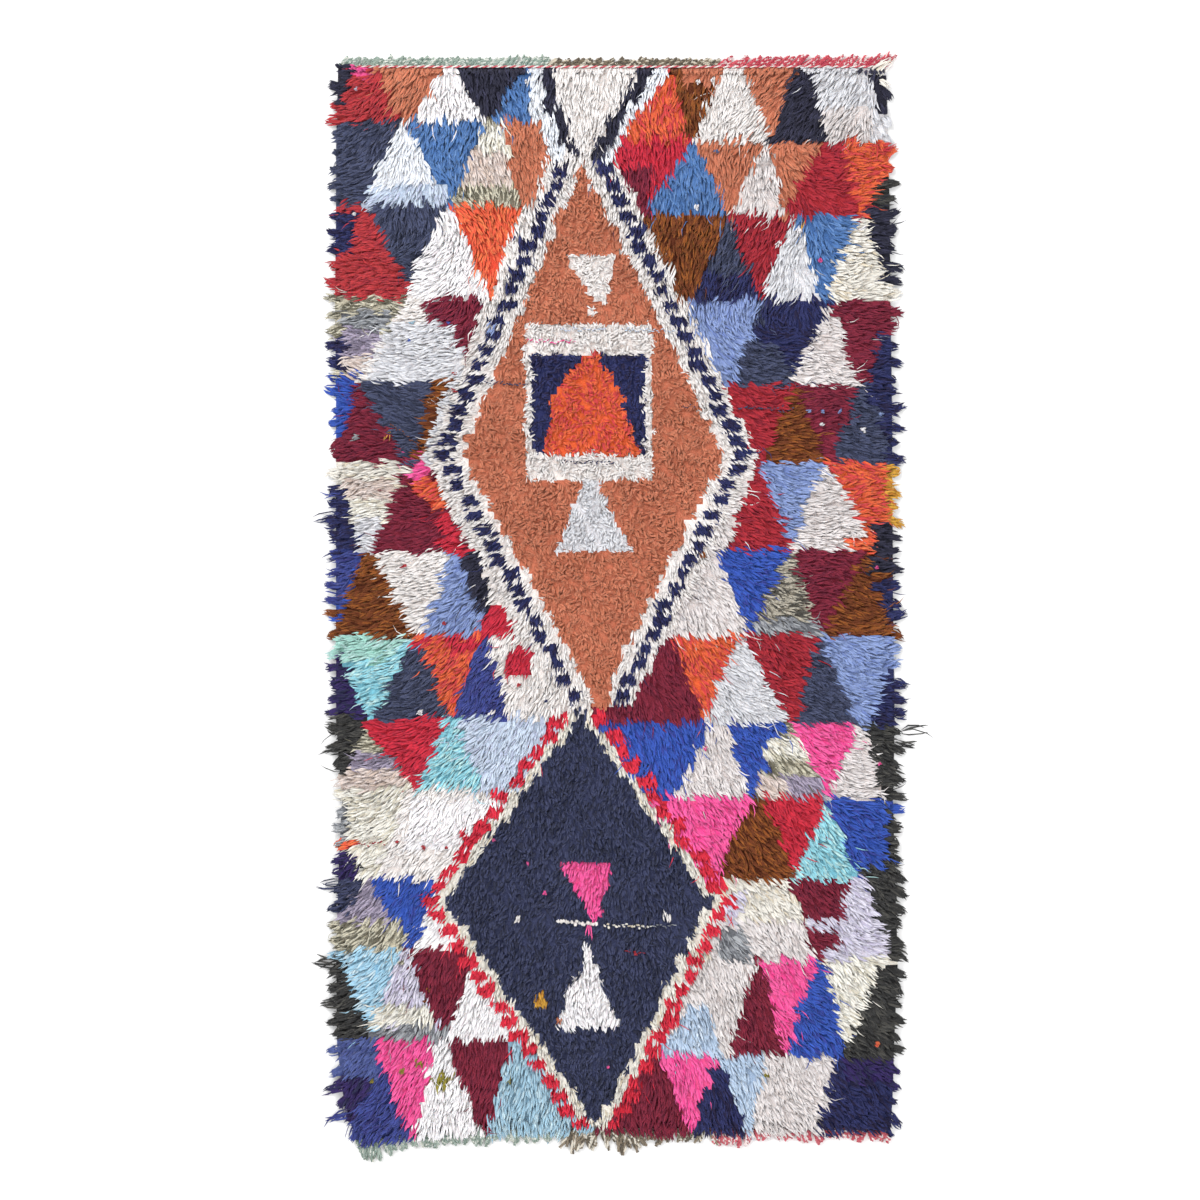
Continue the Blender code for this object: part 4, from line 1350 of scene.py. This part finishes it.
# The two fringes in three stretches each. Only those of the head have one length, which may
# grow to the right: the foot's lengths are in FOOT_ENDS
FRINGES = (
    Fringe("top_fringe_sage", "head", -0.5320, -0.1446, 0.0215, 0.0, 0.95, 0.0, "sage_warp",
           ((150, 166, 155), (120, 138, 128), (206, 210, 200))),
    Fringe("top_fringe_taupe", "head", -0.1443, 0.1737, 0.0195, 0.0, 1.1, 0.0, "taupe_warp",
           ((120, 108, 92), (200, 190, 172), (92, 84, 74))),
    Fringe("top_fringe_rose", "head", 0.1740, 0.4950, 0.0235, 1.1, 1.15, 0.0, "rose_warp",
           ((200, 82, 94), (228, 196, 194), (180, 62, 80))),
    Fringe("bottom_fringe_sage", "foot", -0.4990, -0.1122, 0.0, 0.0, 0.15, 0.30, "sage_warp",
           ((152, 166, 156), (126, 142, 132), (196, 200, 190))),
    Fringe("bottom_fringe_taupe", "foot", -0.1119, 0.1620, 0.0, 0.0, 0.10, 0.60, "taupe_warp",
           ((132, 120, 104), (212, 204, 190), (96, 88, 76))),
    Fringe("bottom_fringe_rose", "foot", 0.1623, 0.5020, 0.0, 0.0, 0.20, 0.45, "rose_warp",
           ((198, 98, 108), (232, 212, 210), (182, 76, 90))),
)


def ply_tube(points, radius):
    """Vertices and faces of a closed tube along a row of points, narrower at its ends."""
    side, up = beside_and_above(points)
    count = len(points)
    taper = np.ones(count)
    taper[0] = taper[-1] = END_TAPER
    vertices = []
    for corner in range(PLY_SIDES):
        turn = corner * 2 * math.pi / PLY_SIDES
        offset = math.cos(turn) * side + math.sin(turn) * up
        vertices.append(points + offset * (radius * taper)[:, None])
    vertices = np.stack(vertices, axis=1).reshape(-1, 3)
    number = np.arange(count * PLY_SIDES).reshape(count, PLY_SIDES)
    after = np.roll(number, -1, axis=1)
    quads = np.stack((number[:-1], number[1:], after[1:], after[:-1]), -1).reshape(-1, 4)
    first = [(number[0, 0], number[0, i], number[0, i + 1]) for i in range(1, PLY_SIDES - 1)]
    last = [(number[-1, 0], number[-1, i + 1], number[-1, i]) for i in range(1, PLY_SIDES - 1)]
    return vertices, quads, np.array(first + last)


def join_tubes(name, tubes, material):
    """One object of many tubes, each given as (tube, colour)."""
    vertices, quads, tris, colours = [], [], [], []
    start = 0
    for (own, own_quads, own_tris), colour in tubes:
        vertices.append(own)
        quads.append(own_quads + start)
        tris.append(own_tris + start)
        colours.append(np.tile(colour, (len(own), 1)))
        start += len(own)
    mesh = bpy.data.meshes.new(name)
    fill_mesh(mesh, np.concatenate(vertices), np.concatenate(quads), np.concatenate(tris))
    colour_layer(mesh, np.concatenate(colours))
    return add_object(name, mesh, material)


def spun(name):
    """Cotton and wool warp yarn, its colour kept with each ply."""
    nodes = Nodes(name)
    nodes.bump(nodes.noise(WARP_SCALE, 2.0), 0.0006, 0.6)
    return nodes.finish(nodes.fibre(nodes.yarn(), WARP_FIBRE_SCALE, 0.80, 1.12), 0.88, 0.08)


def warp_end(x, y, lean, outward, length, ply, pick, rng):
    """The two twisted plies of one cut warp end, curling from its root to its frayed tip."""
    part = np.linspace(0, 1, PLY_STEPS)
    curl = rng.normal(0, CURL_SPREAD)
    heading = np.arctan(lean) + curl * (part - CURL_PLACE)
    step = length / (PLY_STEPS - 1)
    middle = np.column_stack((np.cumsum(np.sin(heading)), outward * np.cumsum(np.cos(heading)))) * step
    middle = middle - middle[0] + (x, y)
    across = np.column_stack((np.cos(heading), -outward * np.sin(heading)))
    orbit = ply * ORBIT_SHARE
    height = ply + FLOOR_GAP + orbit + HEADING_HEIGHT * 0.5 * np.sin(part * math.pi * ARCH_TURN)
    height = height + rng.uniform(0, TIP_LIFT) * part
    turn = part * length / TWIST_LENGTH * 2 * math.pi + rng.uniform(0, 6.28)
    tubes = []
    for half in (0.0, math.pi):
        flat = middle + across * (np.sin(turn + half) * orbit)[:, None]
        level = height + np.cos(turn + half) * orbit
        tubes.append((ply_tube(np.column_stack((flat, level)), ply), pick()))
    return tubes


def edge_line(fringe, x):
    if fringe.end == "head":
        return np.full_like(x, HEAD_LINE)
    return edge_foot(x)


def end_length(fringe, x):
    if fringe.end == "head":
        return fringe.length * (1 + fringe.growth * (x - fringe.left))
    return np.interp(x, [end.across for end in FOOT_ENDS], [end.length for end in FOOT_ENDS])


def fringe_ends(fringe, palette, outward, rng):
    """Tubes of the warp ends along one stretch, each with a shorter partner beside it."""
    ply = HEAD_PLY if fringe.end == "head" else FOOT_PLY

    def pick():
        return palette[rng.choice(len(palette), p=COLOUR_CHANCES)] * rng.uniform(*COLOUR_SHADES)

    count = int((fringe.right - fringe.left) / WARP_PITCH)
    places = fringe.left + (np.arange(count) + 0.5) * (fringe.right - fringe.left) / count
    tubes = []
    for x, line in zip(places, edge_line(fringe, places)):
        length = end_length(fringe, x) * rng.uniform(*WARP_LENGTHS)
        lean = fringe.lean * rng.uniform(*WARP_LEANS) + rng.normal(0, fringe.tangle)
        root = line + outward * WARP_ROOT
        own_x = x + rng.normal(0, WARP_SHIFT)
        tubes += warp_end(own_x, root, lean, outward, length, ply, pick, rng)
        lean, length = lean * PARTNER_LEAN, length * PARTNER_LENGTH
        tubes += warp_end(x + PARTNER_SHIFT, root, lean, outward, length, ply, pick, rng)
    return tubes


def build_fringe(fringe, material, rng):
    """One stretch of heading with its stitches and warp ends."""
    outward = 1.0 if fringe.end == "head" else -1.0
    palette = [np.array(linear(colour)) for colour in fringe.colours]
    tubes = fringe_ends(fringe, palette, outward, rng)
    ends = join_tubes(fringe.name + "_ends", tubes, material)

    grid = np.linspace(fringe.left, fringe.right, HEADING_PLACES)
    inner = edge_line(fringe, grid) + outward * PIECE_GAP
    x = np.tile(grid, (3, 1))
    y = np.stack([inner + outward * HEADING_DEPTH * share for share in (0.0, 0.5, 1.0)])
    if fringe.end == "foot":
        y = y[::-1]
    name = fringe.name + "_heading"
    mesh, _ = slab_mesh(name, x, y, np.full(x.shape, HEADING_HEIGHT))
    tint = np.array([palette[number % 2] for number in range(x.size)])
    colour_layer(mesh, np.concatenate((tint, tint)))
    strip = add_object(name, mesh, material)
    for piece in (ends, strip):
        dress(piece, fringe.slot, fringe.name)


def build_twining(material):
    """Twined cord of rose and white that closes the pile at the head line."""
    tubes = []
    x = np.arange(*CORD_SPAN, CORD_STEP)
    turn = x / CORD_TWIST_LENGTH * 2 * math.pi
    for half, colour in CORD_PLIES:
        y = HEAD_LINE + CORD_INSET + CORD_ORBIT * np.sin(turn + half)
        z = HEADING_HEIGHT + CORD_LIFT + CORD_ORBIT * np.cos(turn + half)
        tubes.append((ply_tube(np.column_stack((x, y, z)), CORD_PLY), np.array(linear(colour))))
    cord = join_tubes("head_twining", tubes, material)
    dress(cord, "rose_warp", "top_fringe_rose")


def build_stage(size=30.0, drop=0.0003):
    """Pale matt floor, a little under the rug's flat underside."""
    mesh = bpy.data.meshes.new("floor")
    corners = np.array(((-size, -size, 0), (size, -size, 0), (size, size, 0), (-size, size, 0)))
    fill_mesh(mesh, corners - (0, 0, drop), np.array(((0, 1, 2, 3),)))
    nodes = Nodes("pale_floor")
    grain = nodes.span(nodes.noise(3.0), *NOISE_RANGE, 0.0, 1.0)
    colour = nodes.mix(grain, (0.90, 0.90, 0.90, 1), (0.92, 0.92, 0.92, 1))
    nodes.join(colour, nodes.shader.inputs["Base Color"])
    nodes.shader.inputs["Specular IOR Level"].default_value = 0.0
    nodes.shader.inputs["Roughness"].default_value = 1.0
    add_object("floor", mesh, nodes.material)


def area_light(name, place, size, power):
    """A round light that faces the middle of the rug."""
    light = bpy.data.lights.new(name, "AREA")
    light.shape = "DISK"
    light.size = size
    light.energy = power
    lamp = bpy.data.objects.new(name, light)
    lamp.location = place
    x, y, z = place
    lamp.rotation_euler = (math.atan2(math.hypot(x, y), z), 0.0, math.atan2(y, x) + math.pi / 2)
    bpy.context.scene.collection.objects.link(lamp)


def build_lights():
    world = bpy.data.worlds.new("studio")
    world.use_nodes = True
    sky = world.node_tree.nodes["Background"]
    sky.inputs["Color"].default_value = (1.0, 1.0, 1.0, 1.0)
    sky.inputs["Strength"].default_value = 1.02
    bpy.context.scene.world = world
    area_light("key", place=(-2.2, 2.6, 4.2), size=2.6, power=160.0)
    area_light("fill", place=(2.6, -1.6, 4.6), size=3.2, power=70.0)
    bpy.context.scene.view_settings.view_transform = "Standard"


def build_camera():
    """Straight down on the rug, 2.25 m of floor across the frame, as in the photograph."""
    camera = bpy.data.cameras.new("camera")
    camera.lens = 100.0
    camera.sensor_width = 36.0
    view = bpy.data.objects.new("camera", camera)
    view.location = (-0.04125, 0.009375, 6.25)
    bpy.context.scene.collection.objects.link(view)
    bpy.context.scene.camera = view


rng = np.random.default_rng(SEED)
build_camera()
build_stage()
build_lights()
build_foundation()
build_pile(rng)
warp_material = spun("spun_warp")
for fringe in FRINGES:
    build_fringe(fringe, warp_material, rng)
build_twining(warp_material)
